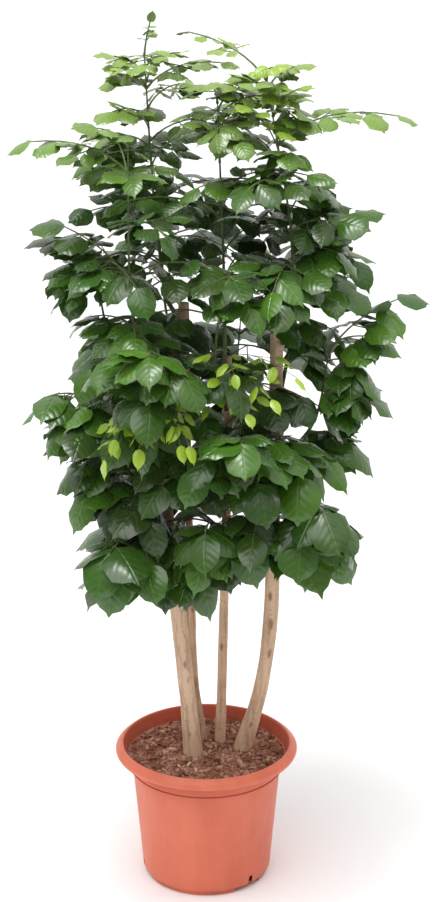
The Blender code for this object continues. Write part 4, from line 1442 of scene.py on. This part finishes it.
print("planned leaves:", len(leaf_plans()))

# %% [markdown]
# ### Where the leaflets go
#
# A leaflet has a root, a heading, a length, a width, a droop towards its tip and a fold
# along its middle. The first pair on a stalk sits on side stalks of its own.

# %% The form of a leaflet
def blade_points(form, thickness=HALF_THICKNESS):
    """The seven points of a blade: its edge from left root to right root, its top and underside."""
    root, along, up, stalk, blade, width, droop, fold = form
    right, up = frame_across(along, up)
    spots = [(*spot, 0) for spot in BLADE_EDGE] + [(*BLADE_HEART, thickness), (*BLADE_HEART, -thickness)]
    points = []
    for across, forward, above in spots:
        sag = droop * blade * forward * forward
        lower = fold * 0.5 * width * abs(across)
        ahead = stalk + blade * forward - SAG_SHORTENING * sag * forward
        points.append(root + right * (0.5 * width * across) + along * ahead + up * (above - sag - lower))
    return points


def add_blade(vertices, faces, base, points):
    """Join a lens-like blade to a loop of points: its top right, top left, then those below."""
    first = len(vertices)
    vertices += points
    top, under = first + 5, first + 6
    edge = [base[1]] + list(range(first, first + 5)) + [base[0]]
    faces += [(top, a, b) for a, b in zip(edge, edge[1:] + edge[:1])]
    edge += reversed(base[2:])
    faces += [(under, b, a) for a, b in zip(edge, edge[1:] + edge[:1])]


def stalk_ring(point, heading, up, radius):
    """Three points round a stalk: two along its flat top, and one below."""
    right, above = frame_across(heading, up)
    aside, raised = right * (radius * 0.87), above * (radius * 0.5)
    return [point + aside + raised, point - aside + raised, point - above * radius]


def thick_leaflet(form, start):
    """A leaflet with some room round it, from a little way along its stalk."""
    root, along, up, stalk = form[:4]
    wide = STALK_RADII[1] + CLEARANCE
    vertices = stalk_ring(root + along * max(stalk, LEAFLET_STALK), along, up, wide)
    faces = []
    if start < stalk:
        vertices += stalk_ring(root + along * start, along, up, wide)
        faces = [(0, 1, 4, 3), (1, 2, 5, 4), (2, 0, 3, 5)]
    add_blade(vertices, faces, [0, 1, 2], blade_points(form, HALF_THICKNESS + CLEARANCE))
    return vertices, faces


print("corners of a leaflet's edge:", len(BLADE_EDGE))

# %% [markdown]
# ### Room for a leaflet
#
# A leaflet is first set as its habit says: it hangs more when it is low on the plant. It
# is then turned, and made smaller if need be, until it is as clear as its habit asks. If
# no try is, the best one is kept when it crosses only its own shoot, and no more of it
# than its habit allows. Otherwise it is left out.

# %% Find room for a leaflet
def blade_clear(obstacles, leaf, root, along, up, stalk, blade, luck, habit):
    """Bend, turn or shrink a leaflet until it is clear of all that has grown."""
    width = blade * LEAFLET_WIDTH_SHARE * luck.uniform(*LEAFLET_WIDTH_CHANCE)
    droop = luck.uniform(*BLADE_DROOPS)
    fold = luck.uniform(*BLADE_FOLDS)
    right, up = frame_across(along, up)
    best = None
    for size in LEAFLET_SIZES[:habit["sizes"]]:
        for pitch, yaw, roll in LEAFLET_TURNS[:habit["turns"]]:
            turn = (Matrix.Rotation(math.radians(roll), 3, along) @ Matrix.Rotation(math.radians(yaw), 3, up)
                    @ Matrix.Rotation(math.radians(pitch), 3, right))
            form = (root, turn @ along, turn @ up, stalk, blade * size, width * size, droop, fold)
            vertices, faces = thick_leaflet(form, LEAFLET_STALK)
            crossed = obstacles.crossings(leaf["node"], vertices, faces, leaf["number"])
            if best is None or crossed < best[0]:
                best = (crossed, form)
            if crossed <= (0, habit["good"]):
                break
        if best[0] <= (0, habit["good"]):
            break
    crossed, form = best
    if crossed[0] > 0 or crossed[1] > habit["joined"]:
        return None
    obstacles.add(leaf["node"], *thick_leaflet(form, 0.0), leaf["number"])
    return form


def turned_level(heading, up, angle_deg):
    """A heading turned sideways, about the direction that points up from it."""
    return Matrix.Rotation(math.radians(angle_deg), 3, frame_across(heading, up)[1]) @ heading


def hung(heading, height, habit, luck):
    """A leaflet's heading after it has drooped, and its upward side."""
    droop = habit["hang"] * read_between(DROOP, height)[0] + luck.uniform(*habit["droop"])
    lean = Vector((luck.uniform(*habit["side"]), luck.uniform(*habit["front"]), 0))
    return (heading - UP * droop).normalized(), (UP + lean).normalized()


def grow_leaflet(leaf, place, obstacles, habit):
    """One leaflet of a compound leaf, at its end or on a side of one of its nodes."""
    luck = random.Random("%d %d %s" % (SEED, leaf["number"], place))
    route = leaf["route"]
    length = sum((b - a).length for a, b in zip(route, route[1:]))
    if place == "end":
        here, along = stalk_point(route, 1.0)
        stalk = 0.0
    else:
        node, side = place
        here, heading = stalk_point(route, NODE_SHARES[node])
        along = turned_level(heading, UP, NODE_ANGLES_DEG[node] * -side)
        stalk = max(NODE_STALK_SHARES[node] * length, LEAFLET_STALK)
    along, up = hung(along, here.z, habit, luck)
    blade = leaflet_length(here.z) * luck.uniform(*LEAFLET_LENGTH_CHANCE) * leaf["size"]
    return blade_clear(obstacles, leaf, here, along, up, stalk, blade, luck, habit)


print("turns that are tried for a leaflet:", len(LEAFLET_TURNS))

# %% [markdown]
# ### All leaves of the solid model
#
# Stalks grow first, on all shoots. Then every leaf gets its end leaflet, then every leaf
# its first side leaflet, and so on, which shares the room fairly between them.

# %% Grow the leaves of the solid model
MAIN_PLACES = ["end"] + [(node, side) for node in range(len(NODE_SHARES)) for side in (-1, 1)]


def grow_leaves(plans, first_number, habit, obstacles):
    """Grow all the stalks and then the leaflets, and keep what stays clear of the rest."""
    grown = []
    for number, (name, start, heading, tip, young, size) in enumerate(plans, first_number):
        route = plan_stalk(name, number, start, heading, tip, obstacles)
        if route:
            grown.append({"node": name, "number": number, "route": route, "leaflets": {},
                          "young": young, "size": size})
    for place in MAIN_PLACES:
        for leaf in list(grown):
            form = grow_leaflet(leaf, place, obstacles, habit)
            if form:
                leaf["leaflets"][place] = form
            elif place == "end":
                grown.remove(leaf)
    return grown


def add_stems(obstacles):
    """The woody stems, collars and shoots, which no leaf may cross."""
    for name in TRUNKS:
        obstacles.add("trunk", *tube(*trunk_tube(name, CLEARANCE), TRUNK_SIDES))
    for name in SHOOTS:
        centre, _heading, end = shoot_start(name)
        obstacles.add("trunk", *tube([centre, end], [COLLAR_RADIUS + CLEARANCE] * 2, COLLAR_SIDES))
        route = shoot_route(name)
        obstacles.add(name, *tube(route, [SHOOT_RADII[0] + CLEARANCE] * len(route), SHOOT_SIDES))


obstacles = Obstacles()
add_stems(obstacles)
leaves = grow_leaves(leaf_plans(), 0, SOLID_HABIT, obstacles)
print("leaves:", len(leaves), "leaflets:", sum(len(leaf["leaflets"]) for leaf in leaves))

# %% [markdown]
# ### More leaves and leaflets
#
# The solid model keeps to five leaflets a leaf, because solids are costly. The living
# leaf is divided again, so more leaflets are set between them: a pair on each side stalk
# and a pair between the nodes. More leaves are added along the shoots too, turned by the
# golden angle from one to the next. Young leaves are listed one by one, lime green in front
# of the crown and yellowish at its top; the last number of each is its youth.

# %% Fill the crown
FIRST_ADDED_NUMBER = 1000
GOLDEN_ANGLE_DEG = 137.5
LEAF_SPACINGS = [(0.66, 0.040), (0.80, 0.055), (0.90, 0.110), (1.06, 0.130), (1.12, 0.028)]
OUTWARD_PULL = 0.6
TOP_OUTWARD_PULL = 0.25
TOP_CROWDING = 0.65
ADDED_FROM = 0.16
ADDED_OVER = 0.82
YOUNG_LEAVES = [
    ("left_front_face", 0.50, (-0.195, -0.255, 0.800), 1.0),
    ("left_front_face", 0.62, (-0.165, -0.285, 0.850), 1.0),
    ("left_front_face", 0.55, (-0.105, -0.300, 0.840), 1.0),
    ("left_front_face", 0.75, (-0.045, -0.310, 0.875), 1.0),
    ("left_front_face", 0.66, (0.010, -0.300, 0.845), 1.0),
    ("middle_front", 0.30, (0.085, -0.300, 0.925), 1.0),
    ("middle_front", 0.42, (0.135, -0.300, 0.950), 1.0),
    ("middle_front", 0.52, (0.185, -0.280, 0.985), 1.0),
    ("middle_front", 0.60, (0.060, -0.300, 0.985), 0.9),
    ("right_top", 0.90, (0.165, -0.100, 1.425), 0.5),
    ("right_top", 0.80, (0.050, -0.130, 1.405), 0.5),
    ("right_top", 0.99, (0.110, -0.110, 1.450), 0.6),
    ("middle_top", 0.95, (0.105, -0.100, 1.435), 0.5),
    ("left_back_top", 0.90, (-0.165, -0.040, 1.440), 0.4),
    ("left_back_top", 0.96, (-0.030, 0.000, 1.455), 0.4),
]
LIME_YOUTH = 0.8
ADDED_SIZE = 0.95
YOUNG_SIZE = 0.46
TOP_YOUNG_SIZE = 0.75
SIDE_PAIR_SHARE = 0.55
MIDDLE_PAIR_SHARE = 0.63
EXTRA_SIZE = 0.88
EXTRA_LENGTH_CHANCE = (0.8, 1.05)
SIDE_PAIR_ANGLE_DEG = 58
MIDDLE_PAIR_ANGLE_DEG = 60
MOST_EXTRA = 6
EXTRA_KEPT = [(0.60, 1.0), (0.90, 0.92), (1.02, 0.62), (1.15, 0.50), (1.30, 1.0)]


def more_leaf_plans():
    plans = []
    for name in SHOOTS:
        route = shoot_route(name, FINE_STEPS)
        headings = directions_along(route)
        luck = random.Random("more " + name)
        spin = luck.uniform(0, 360)
        high = name.endswith("_top")
        pull = TOP_OUTWARD_PULL if high else OUTWARD_PULL
        spacing = read_between(LEAF_SPACINGS, route[FINE_STEPS // 2].z)[0]
        count = round(sum((b - a).length for a, b in zip(route, route[1:])) / spacing)
        for index in range(count):
            share = ((index + luck.uniform(0.2, 0.8)) / count) ** (TOP_CROWDING if high else 1.0)
            at = int(FINE_STEPS * (ADDED_FROM + ADDED_OVER * share))
            tip = outward_tip(route[at], math.radians(spin + GOLDEN_ANGLE_DEG * index), pull, luck)
            plans.append((name, route[at], headings[at], tip, 0.0, ADDED_SIZE))
    for name, share, tip, young in YOUNG_LEAVES:
        size = YOUNG_SIZE if young > LIME_YOUTH else TOP_YOUNG_SIZE
        plans.append(named_plan(name, share, tip, young, size))
    return plans


def extra_roots(leaf):
    """Where more leaflets sit on a leaf: their roots and headings."""
    roots = []
    for side in (-1, 1):
        form = leaf["leaflets"].get((0, side))
        if form and form[3] > 4 * LEAFLET_STALK:
            root, along, up, stalk = form[:4]
            for turn in (-1, 1):
                heading = turned_level(along, up, SIDE_PAIR_ANGLE_DEG * turn)
                roots.append((root + along * stalk * SIDE_PAIR_SHARE, heading))
    here, heading = stalk_point(leaf["route"], MIDDLE_PAIR_SHARE)
    for turn in (-1, 1):
        roots.append((here, turned_level(heading, UP, -MIDDLE_PAIR_ANGLE_DEG * turn)))
    return roots


def grow_extra_leaflets(leaves, obstacles):
    for place in range(MOST_EXTRA):
        for leaf in leaves:
            roots = extra_roots(leaf)
            if place >= len(roots):
                continue
            root, heading = roots[place]
            luck = random.Random("extra %d %d" % (leaf["number"], place))
            if luck.random() > read_between(EXTRA_KEPT, root.z)[0]:
                continue
            along, up = hung(heading, root.z, MORE_HABIT, luck)
            blade = leaflet_length(root.z) * EXTRA_SIZE * luck.uniform(*EXTRA_LENGTH_CHANCE) * leaf["size"]
            form = blade_clear(obstacles, leaf, root, along, up, LEAFLET_STALK, blade, luck, MORE_HABIT)
            if form:
                leaf["leaflets"]["extra %d" % place] = form


leaves += grow_leaves(more_leaf_plans(), FIRST_ADDED_NUMBER, MORE_HABIT, obstacles)
grow_extra_leaflets(leaves, obstacles)
print("leaves:", len(leaves), "leaflets:", sum(len(leaf["leaflets"]) for leaf in leaves))

# %% [markdown]
# ## One leaflet, modelled once
#
# A leaflet is a thin glossy blade with a rounded base, a drawn-out drip tip and a wavy
# edge. It starts as a grid. Its rows are scaled to the outline, its halves puffed up, its
# margins waved, and a flipped copy of all faces is sunk a little below and joined at the
# edge, which closes the blade. Three slightly different ones keep the crown from looking
# stamped.

# %% Model three leaflets
BLADE_COLUMNS = 4
BLADE_ROWS = 7
BLADE_THICKNESS = 0.011
INNER_COLUMN = 0.52
WAVE_PACE = 11
LEFT_SHIFT = 1.9
ROW_LIFT = 10.0
LEAST_ROW_WIDTH = 0.001
SEAM_DISTANCE = 0.0005
BLADE_SMOOTH_DEG = 100
BLADES = {
    "broad": {
        "rows": [(0.0, 0.08), (0.07, 0.82), (0.21, 1.21), (0.42, 1.30), (0.63, 1.13), (0.79, 0.74),
                 (0.885, 0.22), (1.03, 0.0)],
        "wave": 0.040, "shift": 0.4, "puff": 0.030,
    },
    "slim": {
        "rows": [(0.0, 0.07), (0.08, 0.72), (0.24, 1.08), (0.43, 1.14), (0.63, 0.97), (0.79, 0.60),
                 (0.885, 0.18), (1.04, 0.0)],
        "wave": 0.032, "shift": 2.1, "puff": 0.024,
    },
    "round": {
        "rows": [(0.0, 0.09), (0.07, 0.92), (0.21, 1.32), (0.42, 1.40), (0.63, 1.24), (0.80, 0.82),
                 (0.89, 0.24), (1.01, 0.0)],
        "wave": 0.048, "shift": 3.9, "puff": 0.034,
    },
}


def make_blade(name, rows, wave, shift, puff):
    bpy.ops.object.select_all(action="DESELECT")
    bpy.ops.mesh.primitive_grid_add(x_subdivisions=BLADE_COLUMNS, y_subdivisions=BLADE_ROWS, size=2)
    blade = bpy.context.active_object
    blade.name = "blade_" + name
    spacing = 2.0 / BLADE_ROWS
    edit(blade)
    for row in reversed(range(BLADE_ROWS + 1)):
        line = -1 + spacing * row
        pick_vertices(blade, lambda place: abs(place.y - line) < 0.01 and abs(place.z) < 0.5)
        bpy.ops.transform.translate(value=(0, rows[row][0] - line, ROW_LIFT))
        bpy.ops.transform.resize(value=(max(rows[row][1], LEAST_ROW_WIDTH), 1, 1), center_override=(0, 0, 0))
        if rows[row][1] == 0:
            bpy.ops.mesh.merge(type="CENTER")
    bpy.ops.mesh.select_all(action="SELECT")
    bpy.ops.transform.translate(value=(0, 0, -ROW_LIFT))
    leave_edit()
    widths = {round(place, 3): width for place, width in rows}
    for vertex in blade.data.vertices:
        width = widths[round(vertex.co.y, 3)]
        share = vertex.co.x / width if width > 0 else 0.0
        if 0.1 < abs(share) < 0.9:
            vertex.co.x = math.copysign(INNER_COLUMN * width, share)
            vertex.co.z = puff * math.sin(math.pi * min(vertex.co.y, 1.0))
        elif abs(share) > 0.9:
            phase = shift * (1 if share > 0 else LEFT_SHIFT)
            vertex.co.z = wave * math.sin(vertex.co.y * WAVE_PACE + phase) * min(width, 1.0)
    close_blade(blade)
    return blade


def seen_from_above(vertex):
    return round(vertex.co.x, 4), round(vertex.co.y, 4)


def close_blade(blade):
    """Give a sheet an underside that meets it at the edge."""
    shape = bmesh.new()
    shape.from_mesh(blade.data)
    rim = {seen_from_above(vertex) for vertex in shape.verts if vertex.is_boundary}
    shape.free()
    edit(blade)
    bpy.ops.mesh.select_all(action="SELECT")
    bpy.ops.mesh.duplicate_move()
    bpy.ops.mesh.flip_normals()
    shape = bmesh.from_edit_mesh(blade.data)
    for vertex in shape.verts:
        if vertex.select and seen_from_above(vertex) not in rim:
            vertex.co.z -= BLADE_THICKNESS
    bmesh.update_edit_mesh(blade.data)
    bpy.ops.mesh.select_all(action="SELECT")
    bpy.ops.mesh.remove_doubles(threshold=SEAM_DISTANCE)
    leave_edit()


def mark_blade(blade):
    """Store where each point lies on the blade, and which faces are the underside."""
    mesh = blade.data
    while mesh.uv_layers:
        mesh.uv_layers.remove(mesh.uv_layers[0])
    mesh.uv_layers.new(name="blade")
    mesh.attributes.new("leaf", "FLOAT_COLOR", "CORNER")
    spread = mesh.uv_layers["blade"].data
    marks = mesh.attributes["leaf"].data
    for face in mesh.polygons:
        under = 1.0 if face.normal.z < 0 else 0.0
        for corner in face.loop_indices:
            place = mesh.vertices[mesh.loops[corner].vertex_index].co
            spread[corner].uv = (0.5 + 0.4 * place.x, place.y)
            marks[corner].color = (0.0, 0.0, under, 0.0)
    smooth_by_angle(blade, BLADE_SMOOTH_DEG)


blades = [make_blade(name, **shape) for name, shape in BLADES.items()]
for blade in blades:
    mark_blade(blade)
print("faces of each leaflet:", [len(blade.data.polygons) for blade in blades])

# %% [markdown]
# ## The leafy shoots
#
# Each leaflet's copy is bent along its own droop and fold, as its solid is; only near the
# plant's top is it made smaller, and the lime-green young ones are narrower. It gets its
# tone in an attribute: how young it is and how bright. Low leaves are old and dark, high
# ones lighter, and leaves deep inside the crown are darkened further as painted shade.

# %% Bend and tone a leaflet
LIGHT_BY_HEIGHT = [(0.50, 0.36), (0.75, 0.41), (0.90, 0.43), (1.15, 0.42), (1.30, 0.64), (1.45, 0.95)]
YOUNG_BY_HEIGHT = [(1.25, 0.0), (1.38, 0.16), (1.50, 0.34)]
# Painted shade: how much darker a leaflet is made deep inside the crown.
DEPTH_PAINTED_SHADE = 0.35
LEAF_TONE_CHANCE = 0.26
LEAFLET_TONE_CHANCE = 0.16
YOUNG_CHANCE = 0.05
YOUNG_TONES = (0.75, 1.0)
TWIST = 0.012
TWIST_PACE = 9.0
FRESH_BLADE = 1
SIZE_BY_HEIGHT = [(1.42, 1.0), (1.49, 0.62)]
YOUNG_WIDTH = 0.82


def bent(points, form):
    """The unit leaflet's points, bent and set where a leaflet's form says."""
    root, along, up, stalk, blade, width, droop, fold = form
    right, up = frame_across(along, up)
    across, forward, above = points.T
    sag = droop * blade * forward * forward
    lower = fold * 0.5 * width * np.abs(across)
    ahead = stalk + blade * forward - SAG_SHORTENING * sag * forward
    return (np.array(root) + np.outer(0.5 * width * across, right) + np.outer(ahead, along)
            + np.outer(blade * above - sag - lower, up))


def tone_of(leaf, form, luck, leaf_luck):
    """Youth and lightness of a leaflet, from its height, a painted shade for its depth in the crown, and
    chance.
    """
    middle = form[0] + form[1] * form[4] * 0.5
    level = Vector((middle.x, middle.y, 0))
    depth = 1 - min(1.0, level.length / crown_reach(level.normalized(), middle.z))
    # Painted shade: leaflets deep inside the crown are made darker.
    light = read_between(LIGHT_BY_HEIGHT, middle.z)[0] - DEPTH_PAINTED_SHADE * depth
    light += LEAF_TONE_CHANCE * leaf_luck + luck.uniform(-LEAFLET_TONE_CHANCE, LEAFLET_TONE_CHANCE)
    young = read_between(YOUNG_BY_HEIGHT, middle.z)[0] + YOUNG_CHANCE * luck.random()
    if leaf["young"]:
        young = leaf["young"] * luck.uniform(*YOUNG_TONES)
    return max(0.0, min(1.0, young)), max(0.0, min(1.0, light))


def leaflet_copy(leaf, place, form, leaf_luck):
    luck = random.Random("tone %d %s" % (leaf["number"], place))
    model = luck.choice(blades)
    fresh = leaf["young"] > LIME_YOUTH
    mesh = (blades[FRESH_BLADE] if fresh else model).data.copy()
    points = np.array([vertex.co for vertex in mesh.vertices])
    twist = TWIST * luck.uniform(-1, 1)
    points[:, 2] += twist * np.sin(points[:, 1] * TWIST_PACE + luck.uniform(0, 6)) * points[:, 0]
    size = read_between(SIZE_BY_HEIGHT, form[0].z)[0]
    width = form[5] * size * (YOUNG_WIDTH if fresh else 1.0)
    shrunk = (*form[:4], form[4] * size, width, *form[6:])
    mesh.vertices.foreach_set("co", bent(points, shrunk).ravel())
    young, light = tone_of(leaf, form, luck, leaf_luck)
    marks = mesh.attributes["leaf"].data
    values = np.zeros(len(marks) * 4)
    marks.foreach_get("color", values)
    values = values.reshape(-1, 4)
    values[:, 0], values[:, 1], values[:, 3] = young, light, luck.random()
    marks.foreach_set("color", values.ravel())
    return add_object("leaflet", mesh)


print("heights with their own lightness:", len(LIGHT_BY_HEIGHT))

# %% [markdown]
# ### Stalks, and each shoot as one piece
#
# The stem and all stalks of a shoot are one skinned curve, from a thick foot to thin
# ends. Stalks and leaflets are then joined into one piece, because on the plant they are
# grown together.

# %% Lay the stalks and join a shoot
FINE_TIP_RADIUS = 0.0010
STEM_TAPER = 0.7
STALK_FOOT = 1.5
STALK_INTO_BLADE = 0.02
SIDE_STALK_WIDTH = 0.9
SHORT_STALK_WIDTH = 0.7
STALK_END_WIDTH = 0.8
STEM_COARSENESS = 3


def stem_routes(name, own_leaves):
    """The routes of a shoot's stem, its leaf stalks and its leaflets' stalks."""
    route = shoot_route(name, FINE_STEPS)[::STEM_COARSENESS] + [shoot_route(name, FINE_STEPS)[-1]]
    base, tip = SHOOT_RADII[0], FINE_TIP_RADIUS
    radii = [base + (tip - base) * (step / (len(route) - 1)) ** STEM_TAPER for step in range(len(route))]
    routes = [(route, radii)]
    for leaf in own_leaves:
        size = leaf["size"]
        widths = [size * (STALK_RADII[0] + (STALK_RADII[1] - STALK_RADII[0]) * step / STALK_STEPS)
                  for step in range(STALK_STEPS + 1)]
        widths[0] *= STALK_FOOT
        routes.append((leaf["route"], widths))
        for place, form in leaf["leaflets"].items():
            root, along, _up, stalk, blade = form[:5]
            if place != "end":
                end = root + along * (stalk + blade * STALK_INTO_BLADE)
                width = SIDE_STALK_WIDTH if stalk > 2 * LEAFLET_STALK else SHORT_STALK_WIDTH
                thin = STALK_RADII[1] * width * size
                middle = root + along * (stalk * 0.5)
                routes.append(([root, middle, end], [thin, thin, thin * STALK_END_WIDTH]))
    return routes


def make_leafy_shoot(name):
    own_leaves = [leaf for leaf in leaves if leaf["node"] == name]
    stems = skinned("leafy_shoot_" + name, stem_routes(name, own_leaves), 1)
    select_only(stems)
    bpy.ops.object.shade_smooth()
    stems.data.materials.append(stem_material)
    copies = []
    for leaf in own_leaves:
        leaf_luck = random.Random("leaf %d" % leaf["number"]).uniform(-1, 1)
        copies += [leaflet_copy(leaf, place, form, leaf_luck) for place, form in leaf["leaflets"].items()]
    for thing in copies:
        thing.data.materials.append(leaf_material)
    shoot = join([stems] + copies, "leafy_shoot_" + name)
    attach(shoot, "root")
    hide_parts("shoot_" + name)
    return shoot


print("radius of a stem's thin end:", FINE_TIP_RADIUS)

# %% [markdown]
# ### The leaf's skin
#
# Between its side veins the blade bulges, so light breaks into bars across it. The veins
# are lines in the leaflet's own coordinates: the distance from the midrib pushes them
# forwards, which makes them curve to the tip. The underside is paler and duller.

# %% Mix the leaf
LEAF_DARK = (0.020, 0.044, 0.011)
LEAF_MIDDLE = (0.036, 0.115, 0.010)
LEAF_BRIGHT = (0.105, 0.245, 0.020)
LEAF_OLIVE = (0.200, 0.290, 0.075)
LEAF_LIME = (0.380, 0.560, 0.035)
LEAF_UNDER = (0.115, 0.185, 0.080)
VEIN_LIGHT = (0.160, 0.320, 0.060)
SIDE_VEINS = 5.2
VEIN_SWEEP = 0.30
OLIVE_HEIGHTS = (1.18, 1.45)
FRESH_HEIGHTS = (0.75, 1.35)
OLD_STEM = [(0.35, (0.085, 0.070, 0.030)), (0.65, (0.140, 0.150, 0.060))]
FRESH_STEM = [(0.35, (0.085, 0.140, 0.035)), (0.65, (0.160, 0.230, 0.070))]


def leaf_skin():
    graph = material_graph("leaf_skin", Specular_IOR_Level=0.5, Coat_Weight=0.20, Coat_Roughness=0.16)
    young, light, under, chance = graph.marks("leaf")
    across, along, _none = graph.parts_of(graph.node("ShaderNodeUVMap", {"uv_map": "blade"}))
    off = abs(across - 0.5) * 2.2
    phase = ((along - off ** 1.2 * VEIN_SWEEP + chance * 0.05) * SIDE_VEINS).decimals()
    line = 1 - abs(phase - 0.5) * 2
    side_vein = line.between(0.80, 1.0) * (1 - off.between(0.80, 1.0))
    midrib = 1 - off.between(0.0, 0.09)
    vein = (side_vein * 0.7 + midrib).limited()
    mottle = graph.noise(graph.place(), 75.0, 3.0, 0.6)
    tone = light + (mottle - 0.5) * 0.25
    colour = graph.ramp(tone, [(0.0, LEAF_DARK), (0.42, LEAF_MIDDLE), (0.95, LEAF_BRIGHT)])
    z = graph.parts_of(graph.place())[2]
    colour = graph.colour_mix(z.between(*OLIVE_HEIGHTS) * 0.6, colour, LEAF_OLIVE)
    colour = graph.colour_mix(young, colour, LEAF_LIME)
    colour = graph.colour_mix(vein * (0.08 + light * 0.22), colour, VEIN_LIGHT)
    below = graph.colour_mix(vein * 0.35, LEAF_UNDER, VEIN_LIGHT)
    below = graph.colour_mix(young * 0.7, below, LEAF_LIME)
    colour = graph.colour_mix(under, colour, below)
    quilt = (1 - line ** 1.6) * (1 - off ** 3.0) * (1 - young * 0.4)
    height = quilt * 0.45 - midrib * 0.7 + mottle * 0.25
    rough = 0.20 + mottle * 0.12 + under * 0.26
    normal = graph.bump(height, 0.0020, 0.5)
    return graph.finish(Base_Color=colour, Roughness=rough, Normal=normal)


def green_stem():
    graph = material_graph("green_stem", Specular_IOR_Level=0.4)
    place = graph.place()
    streak = graph.noise(graph.stretched(place, (150.0, 150.0, 18.0)), 1.0, 3.0)
    z = graph.parts_of(place)[2]
    old = graph.ramp(streak, OLD_STEM)
    fresh = graph.ramp(streak, FRESH_STEM)
    colour = graph.colour_mix(z.between(*FRESH_HEIGHTS), old, fresh)
    normal = graph.bump(streak, 0.0006, 0.5)
    return graph.finish(Base_Color=colour, Roughness=0.45 + streak * 0.2, Normal=normal)


leaf_material = leaf_skin()
stem_material = green_stem()
shoots = [make_leafy_shoot(name) for name in SHOOTS]
for blade in blades:
    bpy.data.objects.remove(blade)
print("shoots:", len(shoots), "triangles:", sum(triangles(shoot) for shoot in shoots))
